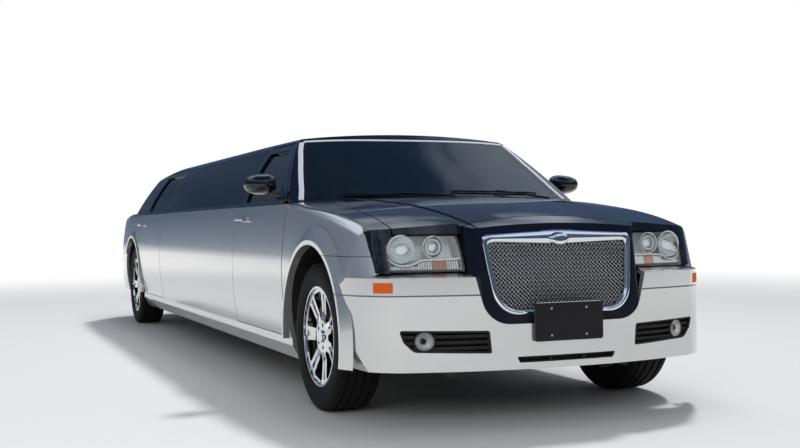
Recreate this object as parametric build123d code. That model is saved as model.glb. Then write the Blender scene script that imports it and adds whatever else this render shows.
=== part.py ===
from build123d import *
from functools import lru_cache
from math import cos, hypot, radians, sin, sqrt, tan
import os

# A stretch limousine. Millimetres, +Z up, the front faces -Y and +X is the car's left side.
# The origin is on the ground, in the centre plane, half way along the overall length.

# Driving sizes of the whole car
base_wheelbase = 3048
stretch = 2540
front_overhang = 850
rear_overhang = 1101
track = 1600
wheelbase = base_wheelbase + stretch
overall_length = front_overhang + wheelbase + rear_overhang
front_axle_y = front_overhang - overall_length / 2
rear_axle_y = front_axle_y + wheelbase

# Wheels
tyre_radius = 360
tyre_width = 225
tread_round = 28
rim_radius = 243
rim_width = 200
rim_barrel_wall = 12
spoke_count = 7
hub_radius = 78
lug_count = 5
lug_circle = 57
lug_hole = 11
cap_radius = 31
face_set = 18
hub_depth = 40
dip_radius = 120
face_thick = 26
spoke_groove = 9
spindle_set = 28
spindle_radius = 30
running_gap = 0.05
bead_gap = 0.3
arch_radius = 446
flare_reach = 10
flare_width = 95

# Body side, as arcs in the cross section
belt_z = 1018
belt_half = 898
waist_z = 640
waist_half = 938
low_z = 255
low_half = 889
sill_top_z = 312
sill_low_z = 200
sill_low_half = 862
door_low_z = 318
door_inner_half = 818
glass_low_half = 866
glass_mid = (771, 1229)
rail_z = 1405
rail_half = 650
rail_round = 55
wall = 38
skin = 26
shut_gap = 7
seat_gap = 0.3

# Doors, as distances from the front axle or, for the rear doors, from the rear axle
front_door_front = 501
front_door_rear = 1587
rear_door_front = -1448
rear_door_rear = -400
hinge_setback = 55
hinge_half = 880
hinge_pin = 7
hinge_crank = 84
hinge_heights = (480, 820)
door_top_z = 1376
mirror_low_z = 1072
mirror_top_z = 1188
frame_width = 34
glass_inset = 13
glass_thick = 5
roof_gap = 15

# Nose
bumper_seam_z = 755
bumper_step_y = -598
shoulder_z = 664
lamp_low_z = 688
lamp_top_z = 848
lamp_lean = 0.325
grille_lean = 0.173
grille_low_z = 492
grille_low_y = -820
hood_half = 737
hood_rear = 404
hood_rear_corner = 466
cowl_drop = 4
cowl_half = 790
ledge_lean = 4.2
hood_lip_z = 853
hood_rise = 5
header_half = 450
header_rear = (690, 634)
plate_half_width = 175
plate_low_z = 374
plate_height = 170
plate_hole = 3.5
plate_hole_pitch = 178
rear_plate_z = 830

# Tail, as distances from the rear axle
deck_front = 318
deck_half = 690
rear_shoulder_z = 650
tail_lamp_low_z = 690
tail_lean = -0.09
tail_lamp_top_z = 985


def section_plane(y):
    """Cross section at y: its first axis is X, its second is Z."""
    return Plane(origin=(0, y, 0), x_dir=(1, 0, 0), z_dir=(0, -1, 0))


def side_plane(x):
    """Side view at x: its first axis is Y, its second is Z."""
    return Plane(origin=(x, 0, 0), x_dir=(0, 1, 0), z_dir=(1, 0, 0))


def outline(start, *moves):
    """A flat face: a move is a point to draw a line to, or a pair of points to draw an arc through."""
    edges, here = [], start
    for move in moves:
        if isinstance(move[0], tuple):
            edges.append(Edge.make_three_point_arc(here, move[0], move[1]))
            here = move[1]
        else:
            edges.append(Edge.make_line(here, move))
            here = move
    if here != start:
        edges.append(Edge.make_line(here, start))
    return Face(Wire(edges))


def rounded(*corners):
    """A flat face from corners of (first, second, corner radius)."""
    moves, count = [], len(corners)
    for i, (u, v, r) in enumerate(corners):
        here = Vector(u, v)
        back = (Vector(*corners[i - 1][:2]) - here).normalized()
        ahead = (Vector(*corners[(i + 1) % count][:2]) - here).normalized()
        if r == 0:
            moves.append((u, v))
            continue
        half = radians(back.get_angle(ahead)) / 2
        middle = (back + ahead).normalized()
        first, last = here + back * (r / tan(half)), here + ahead * (r / tan(half))
        peak = here + middle * (r / sin(half) - r)
        moves.append((first.X, first.Y))
        moves.append(((peak.X, peak.Y), (last.X, last.Y)))
    return outline(*moves)


def grown(face, amount):
    """The same flat outline, larger all round by an amount, or smaller if it is negative."""
    return offset(face, amount=amount, kind=Kind.INTERSECTION).face()


def front_cut(face, y0, y1):
    """A front-view outline run along Y from y0 to y1."""
    return extrude(section_plane(y0) * face, amount=y1 - y0, dir=(0, 1, 0))


def side_cut(face, x0, x1):
    """A side-view outline run along X from x0 to x1."""
    return extrude(side_plane(x0) * face, amount=x1 - x0, dir=(1, 0, 0))


def plan_cut(face, z0, z1, lean=0):
    """A plan outline run upwards from z0 to z1, leaning back by lean for each unit of height."""
    height = z1 - z0
    return extrude(Pos(0, 0, z0) * face, amount=height * hypot(1, lean), dir=(0, lean, 1))


def block(x0, x1, y0, y1, z0, z1):
    """A box between two corners."""
    size = (abs(x1 - x0), abs(y1 - y0), abs(z1 - z0))
    return Pos((x0 + x1) / 2, (y0 + y1) / 2, (z0 + z1) / 2) * Box(*size)


def rod(a, b, radius):
    """A round bar between two points."""
    a, b = Vector(*a), Vector(*b)
    return extrude(Plane(origin=a, z_dir=b - a) * Circle(radius), amount=(b - a).length)


def disc(x0, x1, y, z, radius):
    """A cylinder along X between x0 and x1."""
    return rod((x0, y, z), (x1, y, z), radius)


def mirrored(shape):
    """The same shape on the car's right side."""
    return mirror(shape, about=Plane.YZ)


def both(shape):
    """A left-hand shape and its right-hand twin."""
    return [shape, mirrored(shape)]


def save(name, *pieces):
    """Write the solids of one sub-part to its own file."""
    solids = [solid for piece in pieces for solid in piece.solids()]
    export_step(Compound(children=solids), f"parts/{name}.step")


def arc_circle(a, b, c):
    """Centre and radius of the circle through three points of a cross section."""
    d = 2 * (a[0] * (b[1] - c[1]) + b[0] * (c[1] - a[1]) + c[0] * (a[1] - b[1]))
    sq = [p[0] ** 2 + p[1] ** 2 for p in (a, b, c)]
    u = (sq[0] * (b[1] - c[1]) + sq[1] * (c[1] - a[1]) + sq[2] * (a[1] - b[1])) / d
    v = (sq[0] * (c[0] - b[0]) + sq[1] * (a[0] - c[0]) + sq[2] * (b[0] - a[0])) / d
    return u, v, hypot(a[0] - u, a[1] - v)


side_circle = arc_circle((low_half, low_z), (waist_half, waist_z), (belt_half, belt_z))
glass_circle = arc_circle((glass_low_half, belt_z), glass_mid, (rail_half, rail_z))


def half_at(circle, z, inset=0):
    """Half width of the body at height z, a given depth under the surface."""
    u, v, r = circle
    return u + sqrt((r - inset) ** 2 - (z - v) ** 2)


def band(circle, z0, z1, near, far):
    """Cross section of a wall that follows a body arc, from depth near to depth far."""
    zm = (z0 + z1) / 2
    rim = [(half_at(circle, z, near), z) for z in (z0, zm, z1)]
    back = [(half_at(circle, z, far), z) for z in (z1, zm, z0)]
    return outline(rim[0], (rim[1], rim[2]), back[0], (back[1], back[2]))


def clip_section(y, low, waist, corner, corner_z, corner_r, crown, inset):
    """Cross section of the body's front or rear end: sides, rounded shoulders and a crowned top."""
    low, waist, corner = low - inset, waist - inset, corner - inset
    corner_z, crown = corner_z - inset, crown - inset
    face = outline((-low, low_z), (low, low_z), ((waist, waist_z), (corner, corner_z)),
                   ((0, crown), (-corner, corner_z)), ((-waist, waist_z), (-low, low_z)))
    shoulders = face.vertices().sort_by(Axis.Y)[-2:]
    return section_plane(y) * face.fillet_2d(corner_r - inset / 2, shoulders)


# Distance from the front axle, half widths at the bottom, waist and shoulder, shoulder height, its
# radius, and height of the crown in the middle
front_sections = (
    (720, low_half, waist_half, belt_half, belt_z, 40, 1060),
    (500, low_half, waist_half, belt_half, belt_z, 40, 1050),
    (0, 889, 940, 892, 968, 60, 1026),
    (-350, 884, 935, 872, 914, 75, 984),
    (-620, 866, 915, 846, 848, 80, 928),
    (-850, 840, 885, 812, 782, 80, 856),
)
# The same columns, as distances from the rear axle
rear_sections = (
    (-450, low_half, waist_half, belt_half, belt_z, 40, 1080),
    (0, 889, 940, 896, 1026, 42, 1092),
    (500, 884, 932, 880, 1026, 55, 1086),
    (900, 865, 908, 850, 1003, 60, 1064),
    (1150, 842, 880, 815, 984, 60, 1042),
)


@lru_cache
def front_hull(inset=0):
    """The front end's outer form, or the same form a given depth under the surface."""
    return loft([clip_section(front_axle_y + y, *sizes, inset) for y, *sizes in front_sections])


@lru_cache
def rear_hull(inset=0):
    """The rear end's outer form, or the same form a given depth under the surface."""
    return loft([clip_section(rear_axle_y + y, *sizes, inset) for y, *sizes in rear_sections])


def plan(axle_y, sign, centre, mid, end, corner_mid, corner_end, beyond):
    """Plan outline of a nose or tail: its points are (half width, distance from the axle)."""
    def at(point, side=1):
        return side * point[0], axle_y + sign * point[1]
    wide = corner_end[0] + 40
    return outline(at(centre), (at(mid), at(end)), (at(corner_mid), at(corner_end)),
                   at((wide, corner_end[1] - 50)), at((wide, beyond)), at((wide, beyond), -1),
                   at((wide, corner_end[1] - 50), -1), at(corner_end, -1),
                   (at(corner_mid, -1), at(end, -1)), (at(mid, -1), at(centre)))


bumper_plan = plan(front_axle_y, -1, (0, 835), (400, 805), (759, 705), (870, 603), (932, 420), -700)
lamp_plan = plan(front_axle_y, -1, (0, 745), (447, 714), (770, 626), (874, 556), (930, 430), -700)
rear_bumper_plan = plan(rear_axle_y, 1, (0, rear_overhang), (450, 1078), (760, 1010),
                        (868, 912), (918, 740), -700)
tail_plan = plan(rear_axle_y, 1, (0, 1072), (450, 1052), (740, 990), (842, 905), (896, 760), -700)
lamp_base_z = 690
grille_bulge = rounded(
    (-455, front_axle_y - 600, 0), (-455, front_axle_y - 706, 8), (-396, front_axle_y - 781, 34),
    (396, front_axle_y - 781, 34), (455, front_axle_y - 706, 8), (455, front_axle_y - 600, 0))


def leaning(face, lean, shift, z0=200, z1=1300):
    """A plan outline given at the lamp's lower edge, shifted along Y and run up and down with a lean."""
    drop = lamp_base_z - z0
    return plan_cut(Pos(0, shift - lean * drop, 0) * face, z0, z1, lean)


def nose(inset=0):
    """The form of the front end above the bumper: the lamps' face and the grille's bulge."""
    return leaning(lamp_plan, lamp_lean, inset) + leaning(grille_bulge, grille_lean, inset)


front_form = front_hull() & nose()
front_shell = front_form - (front_hull(skin) & nose(skin))
bumper_form = front_hull() & plan_cut(bumper_plan, 200, 1100)
bumper_core = front_hull(skin) & plan_cut(Pos(0, skin * 1.2, 0) * bumper_plan, 200, 1100)
tail_form = rear_hull() & leaning(tail_plan, tail_lean, 0)
tail_shell = tail_form - (rear_hull(skin) & leaning(tail_plan, tail_lean, -skin))
rear_bumper_form = rear_hull() & plan_cut(rear_bumper_plan, 200, 1100)
rear_bumper_core = rear_hull(skin) & plan_cut(Pos(0, -skin * 1.2, 0) * rear_bumper_plan, 200, 1100)


def arch(axle_y, radius=arch_radius):
    """The wheel opening, as wide as the car."""
    return disc(-1100, 1100, axle_y, tyre_radius, radius)


def flare(axle_y):
    """The raised ring round a wheel opening, on the left side."""
    inner = waist_half - skin + 1
    ring = outline((inner, arch_radius - 20), (waist_half + flare_reach, arch_radius - 20),
                   (waist_half + flare_reach, arch_radius + 22), (inner, arch_radius + flare_width))
    ring = Plane(origin=(0, axle_y, tyre_radius), x_dir=(1, 0, 0), z_dir=(0, -1, 0)) * ring
    return revolve(ring, Axis((0, axle_y, tyre_radius), (1, 0, 0)), 360)


# Glasshouse
screen_base = (front_axle_y + 440, 1040)
screen_top = (front_axle_y + 1025, 1430)
screen_bow = 4600
backlight_base = (rear_axle_y + 292, 1080)
backlight_top = (rear_axle_y - 150, 1402)
backlight_bow = 3600


def glazing(base, top, bow, near, far, front):
    """A curved sheet of glass between two depths, as wide as the car and longer than its opening."""
    rise = Vector(0, top[0] - base[0], top[1] - base[1]).normalized()
    out = Vector(0, -rise.Z, rise.Y) if front else Vector(0, rise.Z, -rise.Y)
    sheet = Plane(origin=Vector(0, *base) - rise * 500, x_dir=out.cross(rise), z_dir=rise)
    wide = 1000
    sag = bow - sqrt(bow ** 2 - wide ** 2)
    face = outline((-wide, -sag - near), ((0, -near), (wide, -sag - near)),
                   (wide, -sag - far), ((0, -far), (-wide, -sag - far)))
    return extrude(sheet * face, amount=1700, dir=rise)


# Distance from the front axle, rail height, crown height
front_roof = ((250, 1395, 1406), (1010, 1402, 1434), (1650, rail_z, 1474), (2300, rail_z, 1483))
# The same, from the rear axle
rear_roof = ((-1288, rail_z, 1483), (-688, 1392, 1463), (-148, 1345, 1404), (412, 1262, 1318))


def roof_section(y, rail, crown, inset):
    """Cross section of the glasshouse: curved sides, rounded rails and a crowned roof."""
    low_z_here = belt_z - 30
    points = [(half_at(glass_circle, z, inset), z) for z in (low_z_here, (low_z_here + rail) / 2, rail)]
    crown = crown - inset
    face = outline((-points[0][0], low_z_here), points[0], (points[1], points[2]),
                   ((0, crown), (-points[2][0], rail)), ((-points[1][0], points[1][1]),
                                                        (-points[0][0], low_z_here)))
    corners = face.vertices().sort_by(Axis.Y)[-2:]
    return section_plane(y) * face.fillet_2d(rail_round, corners)


def glasshouse(inset=0):
    """The cabin's upper form, between the windscreen's and the rear window's surfaces."""
    front = [roof_section(front_axle_y + y, rail - inset, crown, inset) for y, rail, crown in front_roof]
    rear = [roof_section(rear_axle_y + y, rail - inset, crown, inset) for y, rail, crown in rear_roof]
    middle = extrude(front[-1], amount=rear_axle_y + rear_roof[0][0] - front_axle_y - front_roof[-1][0],
                     dir=(0, 1, 0))
    form = loft(front) + middle + loft(rear)
    form = form - glazing(screen_base, screen_top, screen_bow, -900, inset, True)
    return form - glazing(backlight_base, backlight_top, backlight_bow, -900, inset, False)


# Side outlines of the doors: distance along Y and height
def front_door_outline(gap=0):
    """The front door in side view, larger all round by a gap."""
    f = front_axle_y
    face = rounded(
        (f + front_door_front, door_low_z, 20), (f + front_door_rear, door_low_z, 20),
        (f + front_door_rear, belt_z, 0), (f + front_door_rear - (roof_gap - shut_gap), door_top_z, 12),
        (f + 1092, door_top_z, 40), (f + 606, belt_z - 3, 0), (f + front_door_front, belt_z - 3, 4))
    return grown(face, gap) if gap else face


def rear_door_outline(gap=0):
    """The rear door in side view, larger all round by a gap."""
    r = rear_axle_y
    clear = arch_radius + flare_width * 0.6
    low_z_here, high_z = door_low_z, 700
    arc_low = (r - sqrt(clear ** 2 - (tyre_radius - low_z_here) ** 2), low_z_here)
    arc_high = (r - sqrt(clear ** 2 - (high_z - tyre_radius) ** 2), high_z)
    arc_mid = (r - clear * cos(radians(17)), tyre_radius + clear * sin(radians(17)))
    face = outline(
        (r + rear_door_front, low_z_here), arc_low, (arc_mid, arc_high), (r + rear_door_rear, 800),
        (r + rear_door_rear, belt_z), (r - 640, door_top_z - 6),
        (r + rear_door_front, door_top_z), (r + rear_door_front, belt_z))
    return grown(face, gap) if gap else face


f, r = front_axle_y, rear_axle_y
front_window = rounded((f + 700, belt_z + 22, 12), (f + front_door_rear - frame_width, belt_z + 22, 14),
                       (f + front_door_rear - frame_width - 8, door_top_z - frame_width, 22),
                       (f + 1112, door_top_z - frame_width, 60))
rear_window = rounded((r + rear_door_front + frame_width, belt_z + 22, 14), (r - 474, belt_z + 22, 30),
                      (r - 676, door_top_z - frame_width - 6, 40),
                      (r + rear_door_front + frame_width, door_top_z - frame_width, 22))


def belt_slab(low, high):
    """Cross section of a door below the glass, with its shoulder under the window."""
    zm = (low + high) / 2
    return outline((door_inner_half, low), (half_at(side_circle, low), low),
                   ((half_at(side_circle, zm), zm), (half_at(side_circle, high), high)),
                   (door_inner_half, high))


def door(face, window, y0, y1, hinge_y):
    """A whole left door: its body, the frame round its glass and the groove that the glass sits in."""
    body = front_cut(belt_slab(door_low_z - 5, belt_z - 3), y0, y1)
    frame = front_cut(band(glass_circle, belt_z - 30, rail_z, 0, wall - 4), y0, y1)
    whole = (body + frame) & side_cut(face, 400, 1000)
    whole -= side_cut(window, 400, 1000)
    groove = front_cut(band(glass_circle, belt_z - 20, rail_z, glass_inset - seat_gap,
                            glass_inset + glass_thick + seat_gap), y0, y1)
    whole -= groove & side_cut(grown(window, 8 + seat_gap), 400, 1000)
    for z in hinge_heights:
        whole -= block(700, hinge_half + 28, hinge_y - hinge_setback - 1, hinge_y + 12, z - 34, z + 34)
        whole -= rod((hinge_half, hinge_y, z - 52), (hinge_half, hinge_y, z + 52), hinge_pin + running_gap)
    return whole


def door_hinge(y, z):
    """The fixed half of a left door hinge: a cranked strap off the post, and its pin."""
    x, reach, tail = hinge_half, hinge_half - door_inner_half + seat_gap, 100
    strap = outline((x + 7, y - 7), (x - 40, y - 19), (x - reach, y - 62), (x - reach, y - tail),
                    (x - hinge_crank, y - tail), (x - hinge_crank, y - 52), (x - 50, y - 5), (x - 6, y + 7))
    return plan_cut(strap, z - 16, z + 16) + rod((x, y, z - 50), (x, y, z + 50), hinge_pin)


def pane(window, y0, y1):
    """The glass of a left door."""
    pane = band(glass_circle, belt_z - 20, rail_z, glass_inset, glass_inset + glass_thick)
    sheet = front_cut(pane, y0, y1)
    return sheet & side_cut(grown(window, 8), 400, 1000)


def door_handle(y, z):
    """A pull handle on two feet, on the left side."""
    x = half_at(side_circle, z)
    foot = [block(x - 4, x + 26, y + s - 9, y + s + 9, z - 11, z + 11) for s in (-82, 82)]
    bar = front_cut(Pos(x + 28, z) * RectangleRounded(14, 24, 6), y - 96, y + 96)
    return foot[0] + foot[1] + bar


def hinge_relief(y):
    """What a left door's front edge sweeps as it turns on its hinge at y."""
    reach = [(hypot(half_at(side_circle, z) - hinge_half, hinge_setback) + shut_gap, z)
             for z in (door_low_z, waist_z, belt_z)]
    face = outline((0, reach[0][1] - 10), (reach[0][0], reach[0][1] - 10), reach[0],
                   (reach[1], reach[2]), (reach[2][0], belt_z + 10), (0, belt_z + 10))
    face = Plane(origin=(hinge_half, y, 0), x_dir=(1, 0, 0), z_dir=(0, -1, 0)) * face
    return revolve(face, Axis((hinge_half, y, 0), (0, 0, 1)), 360)


front_hinge_y = f + front_door_front + hinge_setback
rear_hinge_y = r + rear_door_front + hinge_setback


def side_body():
    """The fixed left side below the glass, as thick as a door, from the front door to the rear arch."""
    return front_cut(belt_slab(sill_top_z + seat_gap, belt_z - 3), f + front_door_rear + shut_gap,
                     r + rear_door_front - shut_gap)


def make_doors():
    """Four doors with their glass, on the left side and mirrored."""
    y0, y1 = f + front_door_front - 40, f + front_door_rear + 40
    front = door(front_door_outline(), front_window, y0, y1, front_hinge_y)
    front += door_handle(f + 1389, 944)
    rear = door(rear_door_outline(), rear_window, r + rear_door_front - 40, r + rear_door_rear + 40,
                rear_hinge_y)
    rear += door_handle(r - 487, 930)
    front_glass = pane(front_window, y0, y1)
    rear_glass = pane(rear_window, r + rear_door_front, r + rear_door_rear)
    for name, shape in (("front_door", front), ("rear_door", rear), ("front_door_glass", front_glass),
                        ("rear_door_glass", rear_glass)):
        save(name + "_left", shape)
        save(name + "_right", mirrored(shape))
    hinges = [door_hinge(y, z) for y in (front_hinge_y, rear_hinge_y) for z in hinge_heights]
    return [piece for hinge in hinges for piece in both(hinge)]


def make_sides():
    """Stretch panels, sills and the glass between the doors."""
    panel = side_body() - hinge_relief(rear_hinge_y)
    save("stretch_panels", *both(panel))
    sill_face = outline((sill_low_half - 70, sill_low_z), (sill_low_half, sill_low_z),
                        (half_at(side_circle, sill_top_z) - 4, sill_top_z - 40),
                        (half_at(side_circle, sill_top_z) - 4, sill_top_z),
                         (door_inner_half - 40, sill_top_z),
                        (door_inner_half - 40, sill_low_z + 40))
    sill = front_cut(sill_face, f, r) - arch(f) - arch(r)
    save("sills", *both(sill))


# Fixed windows between the doors: distances of the ends from the two axles
stretch_window_start = f + front_door_rear + shut_gap + 26
stretch_window_end = r + rear_door_front - shut_gap - 26
stretch_pane_count = 3


def stretch_outlines(grow=0):
    """Side views of the fixed panes, from front to rear."""
    length = (stretch_window_end - stretch_window_start) / stretch_pane_count
    faces = []
    for i in range(stretch_pane_count):
        y0 = stretch_window_start + i * length + 3
        y1 = y0 + length - 6
        faces.append(rounded((y0 - grow, belt_z + 8 - grow, 14), (y1 + grow, belt_z + 8 - grow, 14),
                             (y1 + grow, door_top_z - 4 + grow, 18), (y0 - grow, door_top_z - 4 + grow, 18)))
    return faces


def make_glasshouse():
    """Roof with its pillars, windscreen, rear window and the fixed side panes."""
    shell = glasshouse() - glasshouse(wall)
    shell = shell & block(-1000, 1000, f + 300, r + 500, belt_z - 3 + seat_gap, 1600)
    shell -= front_hull(cowl_drop - seat_gap) + rear_hull(-seat_gap)
    for x0, x1 in ((400, 1000), (-1000, -400)):
        shell -= side_cut(front_door_outline(shut_gap), x0, x1)
        shell -= side_cut(rear_door_outline(shut_gap), x0, x1)
    panes = []
    deep = front_cut(band(glass_circle, belt_z - 20, rail_z, -30, glass_thick + seat_gap),
                     stretch_window_start - 50, stretch_window_end + 50)
    sheet = front_cut(band(glass_circle, belt_z - 20, rail_z, 0, glass_thick),
                      stretch_window_start - 50, stretch_window_end + 50)
    for wide, small, true in zip(stretch_outlines(2), stretch_outlines(-24), stretch_outlines()):
        seat = deep & side_cut(wide, 400, 1000)
        hole = side_cut(small, 400, 1000)
        shell -= seat + mirrored(seat) + hole + mirrored(hole)
        panes += both(sheet & side_cut(true, 400, 1000))
    save("stretch_windows", *panes)

    # Windscreen and rear window, as front-view outlines: half widths and heights
    screen = rounded((-815, 1046, 40), (815, 1046, 40), (628, 1408, 50), (-628, 1408, 50))
    back = rounded((-735, 1100, 50), (735, 1100, 50), (560, 1372, 50), (-560, 1372, 50))
    for name, face, ends, y0, y1 in (
            ("windscreen", screen, (screen_base, screen_top, screen_bow), f + 300, f + 1300),
            ("rear_window", back, (backlight_base, backlight_top, backlight_bow), r - 500, r + 500)):
        front = name == "windscreen"
        seat = glazing(*ends, -40, glass_thick + seat_gap, front) & front_cut(grown(face, 3), y0, y1)
        sheet = glazing(*ends, 0, glass_thick, front) & front_cut(face, y0, y1)
        shell = shell - seat - front_cut(grown(face, -22), y0, y1)
        save(name, sheet)
    save("roof_frame", shell)


# Front-view outlines of the face
ring_face = rounded((-387, 850, 22), (0, 868, 900), (387, 850, 22), (368, 690, 500),
                    (338, grille_low_z, 120), (-338, grille_low_z, 120), (-368, 690, 500))
mesh_face = rounded((-357, 814, 16), (0, 800, 900), (357, 814, 16), (340, 690, 500),
                    (312, grille_low_z + 24, 100), (-312, grille_low_z + 24, 100), (-340, 690, 500))
surround_face = rounded((-443, 850, 4), (443, 850, 4), (440, 680, 60), (380, 455, 130),
                        (-380, 455, 130), (-440, 680, 60))
lamp_face = rounded((447, lamp_low_z, 10), (768, lamp_low_z - 2, 14), (777, 800, 20),
                    (742, lamp_top_z, 30), (462, lamp_top_z, 14), (449, 760, 60))
fog_face = rounded((366, 330, 8), (375, 430, 14), (762, 438, 10), (744, 385, 30), (701, 342, 40))
slot_face = rounded((-238, 284, 8), (238, 284, 8), (252, 311, 5), (-252, 311, 5))


def leaning_slab(low_y, low_z, lean, near, far):
    """The space between two planes that lean back, at depths near and far behind a front face."""
    def at(z, depth):
        return (low_y + (z - low_z) * lean + depth, z)
    return side_cut(outline(at(300, near), at(1000, near), at(1000, far), at(300, far)), -1000, 1000)


def grille_slab(near, far):
    return leaning_slab(f + grille_low_y, grille_low_z, grille_lean, near, far)


def largest(shape):
    return shape.solids().sort_by(SortBy.VOLUME)[-1]


hood_pivot_y = f + 476
hood_pivot_z = 1020
lid_pin = 6
lid_pivot_y = r + deck_front - 10
lid_pivot_z = 1078


def hood_plan(gap):
    """The hood in plan, with its curved rear edge, larger by a gap."""
    wide, corner, middle = hood_half + gap, f + hood_rear_corner + gap, f + hood_rear + gap
    return outline((-wide, f - 900), (wide, f - 900), (wide, corner), ((0, middle), (-wide, corner)))


def header_plan(gap):
    """The fixed strip between the hood and the grille in plan, larger by a gap."""
    wide, corner, middle = header_half + gap, f - header_rear[0] + gap, f - header_rear[1] + gap
    return outline((-wide, f - 900), (wide, f - 900), (wide - 8, corner), ((0, middle), (8 - wide, corner)))


@lru_cache
def raised_shell():
    """The front end's shell with the low bulge that runs along the middle of the hood."""
    lines = outline((-400, f - 900), (400, f - 900), (400, f - 700), ((470, f - 200), (545, f + 520)),
                    (-545, f + 520), ((-470, f - 200), (-400, f - 700)))
    bulge = (front_hull(-hood_rise) - front_hull(2)) & nose() & plan_cut(lines, hood_lip_z - 8, 1200)
    return front_shell + bulge


def make_hood_and_fenders():
    """The hood, the front wings and the hood's hinge brackets."""
    bay = front_cut(grown(ring_face, 4), f - 900, f - 700)
    hood = (raised_shell() & plan_cut(hood_plan(0), hood_lip_z, 1200)) - bay
    hood = largest(hood - plan_cut(header_plan(shut_gap), 800, 1200))
    brackets = []
    for side in (-1, 1):
        inner, outer = side * (hood_half - 50), side * (hood_half - 26)
        ear = block(inner, outer, hood_pivot_y - 40, hood_pivot_y + 9, hood_pivot_z - 11, hood_pivot_z + 20)
        hood += ear & front_hull(2)
        hood -= rod((inner - 60, hood_pivot_y, hood_pivot_z), (inner + 60, hood_pivot_y, hood_pivot_z),
                    lid_pin + running_gap)
        last = side * (hood_half + 6 - seat_gap)
        plate = block(last - side * 4, last, hood_pivot_y - 12, hood_pivot_y + 12, hood_pivot_z - 12,
                      hood_pivot_z + 6)
        brackets.append(plate + rod((inner, hood_pivot_y, hood_pivot_z), (last, hood_pivot_y, hood_pivot_z),
                                    lid_pin))
    save("hood", hood)
    fender = front_shell + (flare(f) & block(700, 1000, f - 700, f + 470, low_z, 900))
    fender &= block(hood_half + 6, 1000, f - 900, f + front_door_front - shut_gap, sill_top_z + seat_gap,
                    1200)
    fender -= block(0, 1000, f + bumper_step_y - 2, f, 0, bumper_seam_z + seat_gap)
    fender -= block(0, 1000, f - 900, f + bumper_step_y - 2, 0, lamp_low_z - 6)
    fender -= front_cut(grown(lamp_face, 5), f - 900, f - 520)
    fender -= arch(f) + hinge_relief(front_hinge_y)
    rebate = front_hull() - front_hull(8)
    rebate &= block(700, 1000, f - 700, f, bumper_seam_z, bumper_seam_z + 3.5)
    fender -= rebate
    save("front_fenders", *both(largest(fender)))
    return brackets


def make_bumper():
    """Front bumper cover, its black inserts and the plate."""
    whole = bumper_form + (mirror_pair(flare(f) & block(700, 1000, f - 700, f, low_z, bumper_seam_z)))
    whole &= block(-1000, 1000, f - 900, f - 100, low_z, bumper_seam_z)

    def under_ledge(drop, shift):
        """The space below the ledge that runs back from the bumper's shoulder to the lamps."""
        edge = Pos(0, shift, 0) * bumper_plan
        ledge = plan_cut(edge, shoulder_z - drop, lamp_low_z - 6 - drop, ledge_lean)
        return plan_cut(edge, 200, shoulder_z - drop) + ledge

    nose_zone = block(-1000, 1000, f - 900, f + bumper_step_y, 200, 1000)
    side_zone = block(-1000, 1000, f + bumper_step_y, f, 200, shoulder_z)
    corner_zone = block(-1000, 1000, f + bumper_step_y, f, shoulder_z, 1000)
    corner = whole & corner_zone & leaning(lamp_plan, lamp_lean, 0)
    whole = (whole & under_ledge(0, 0) & nose_zone) + (whole & side_zone) + corner
    inner_side = block(-1000, 1000, f + bumper_step_y - 1, f + 10, 200, shoulder_z - skin)
    inner_corner = block(-1000, 1000, f + bumper_step_y - 1, f + 10, shoulder_z - skin, 1000)
    core = bumper_core & ((under_ledge(14, skin) & nose_zone) + inner_side + (
        inner_corner & leaning(lamp_plan, lamp_lean, skin)))
    cover = whole - core
    cover -= leaning(Pos(0, 40, 0) * lamp_plan, lamp_lean, 0, shoulder_z - 80, lamp_low_z) & block(
        -1000, 1000, f - 900, f + bumper_step_y, shoulder_z - 60, lamp_low_z)
    groove = plan_cut(bumper_plan, 583, 589) - plan_cut(Pos(0, 5, 0) * bumper_plan, 583, 589)
    cover -= groove & block(-1000, 1000, f - 900, f - 560, 500, 700)
    cover -= mirror_pair(grown_marker())
    cover -= front_cut(grown(surround_face, seat_gap), f - 900, f - 400)
    cover -= mirror_pair(front_cut(grown(lamp_face, seat_gap), f - 900, f - 400))
    cover -= arch(f)
    for face in (fog_face, slot_face):
        hole = front_cut(face, f - 900, f - 600)
        cover -= hole + mirrored(hole)
    save("front_bumper", largest(cover))

    def sheet(near, far):
        outer = plan_cut(Pos(0, near, 0) * bumper_plan, 200, 700)
        return outer - plan_cut(Pos(0, far, 0) * bumper_plan, 200, 700)

    fog = front_cut(grown(fog_face, -seat_gap), f - 900, f - 500)
    frame = (sheet(2, 50) & fog) - front_cut(grown(fog_face, -9), f - 900, f - 500)
    back = sheet(44, 50) & fog
    slats = [sheet(10, 44) & fog & block(0, 1000, f - 900, f - 500, z - 7, z + 7) for z in (356, 382, 408)]
    lamp_seat = front_cut(Pos(652, 388) * Circle(46), f - 900, f - 500)
    insert = frame + back + slats[0] + slats[1] + slats[2]
    insert -= lamp_seat & sheet(-10, 44)
    lamp = (sheet(4, 44 - seat_gap) & front_cut(Pos(652, 388) * Circle(42), f - 900, f - 500))
    slot = front_cut(grown(slot_face, -seat_gap), f - 900, f - 700)
    vent = (sheet(4, 40) & slot) - front_cut(grown(slot_face, -5), f - 900, f - 500)
    vent += sheet(34, 40) & slot
    for x in (-85, 85):
        vent += sheet(6, 36) & slot & block(x - 5, x + 5, f - 900, f - 600, 250, 350)
    save("bumper_grilles", *both(insert), vent)
    save("bumper_lamps", *both(lamp), *both(marker_piece()))
    plate = block(-plate_half_width, plate_half_width, f - front_overhang, f - front_overhang + 6,
                  plate_low_z, plate_low_z + plate_height)
    bracket = block(-120, 120, f - front_overhang + 6, f - 800, plate_low_z + 10, plate_low_z + 66)
    bracket -= plan_cut(Pos(0, -seat_gap, 0) * bumper_plan, 200, 1000)
    save("front_plate", plate + bracket)


def mirror_pair(shape):
    return shape + mirrored(shape)


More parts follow.
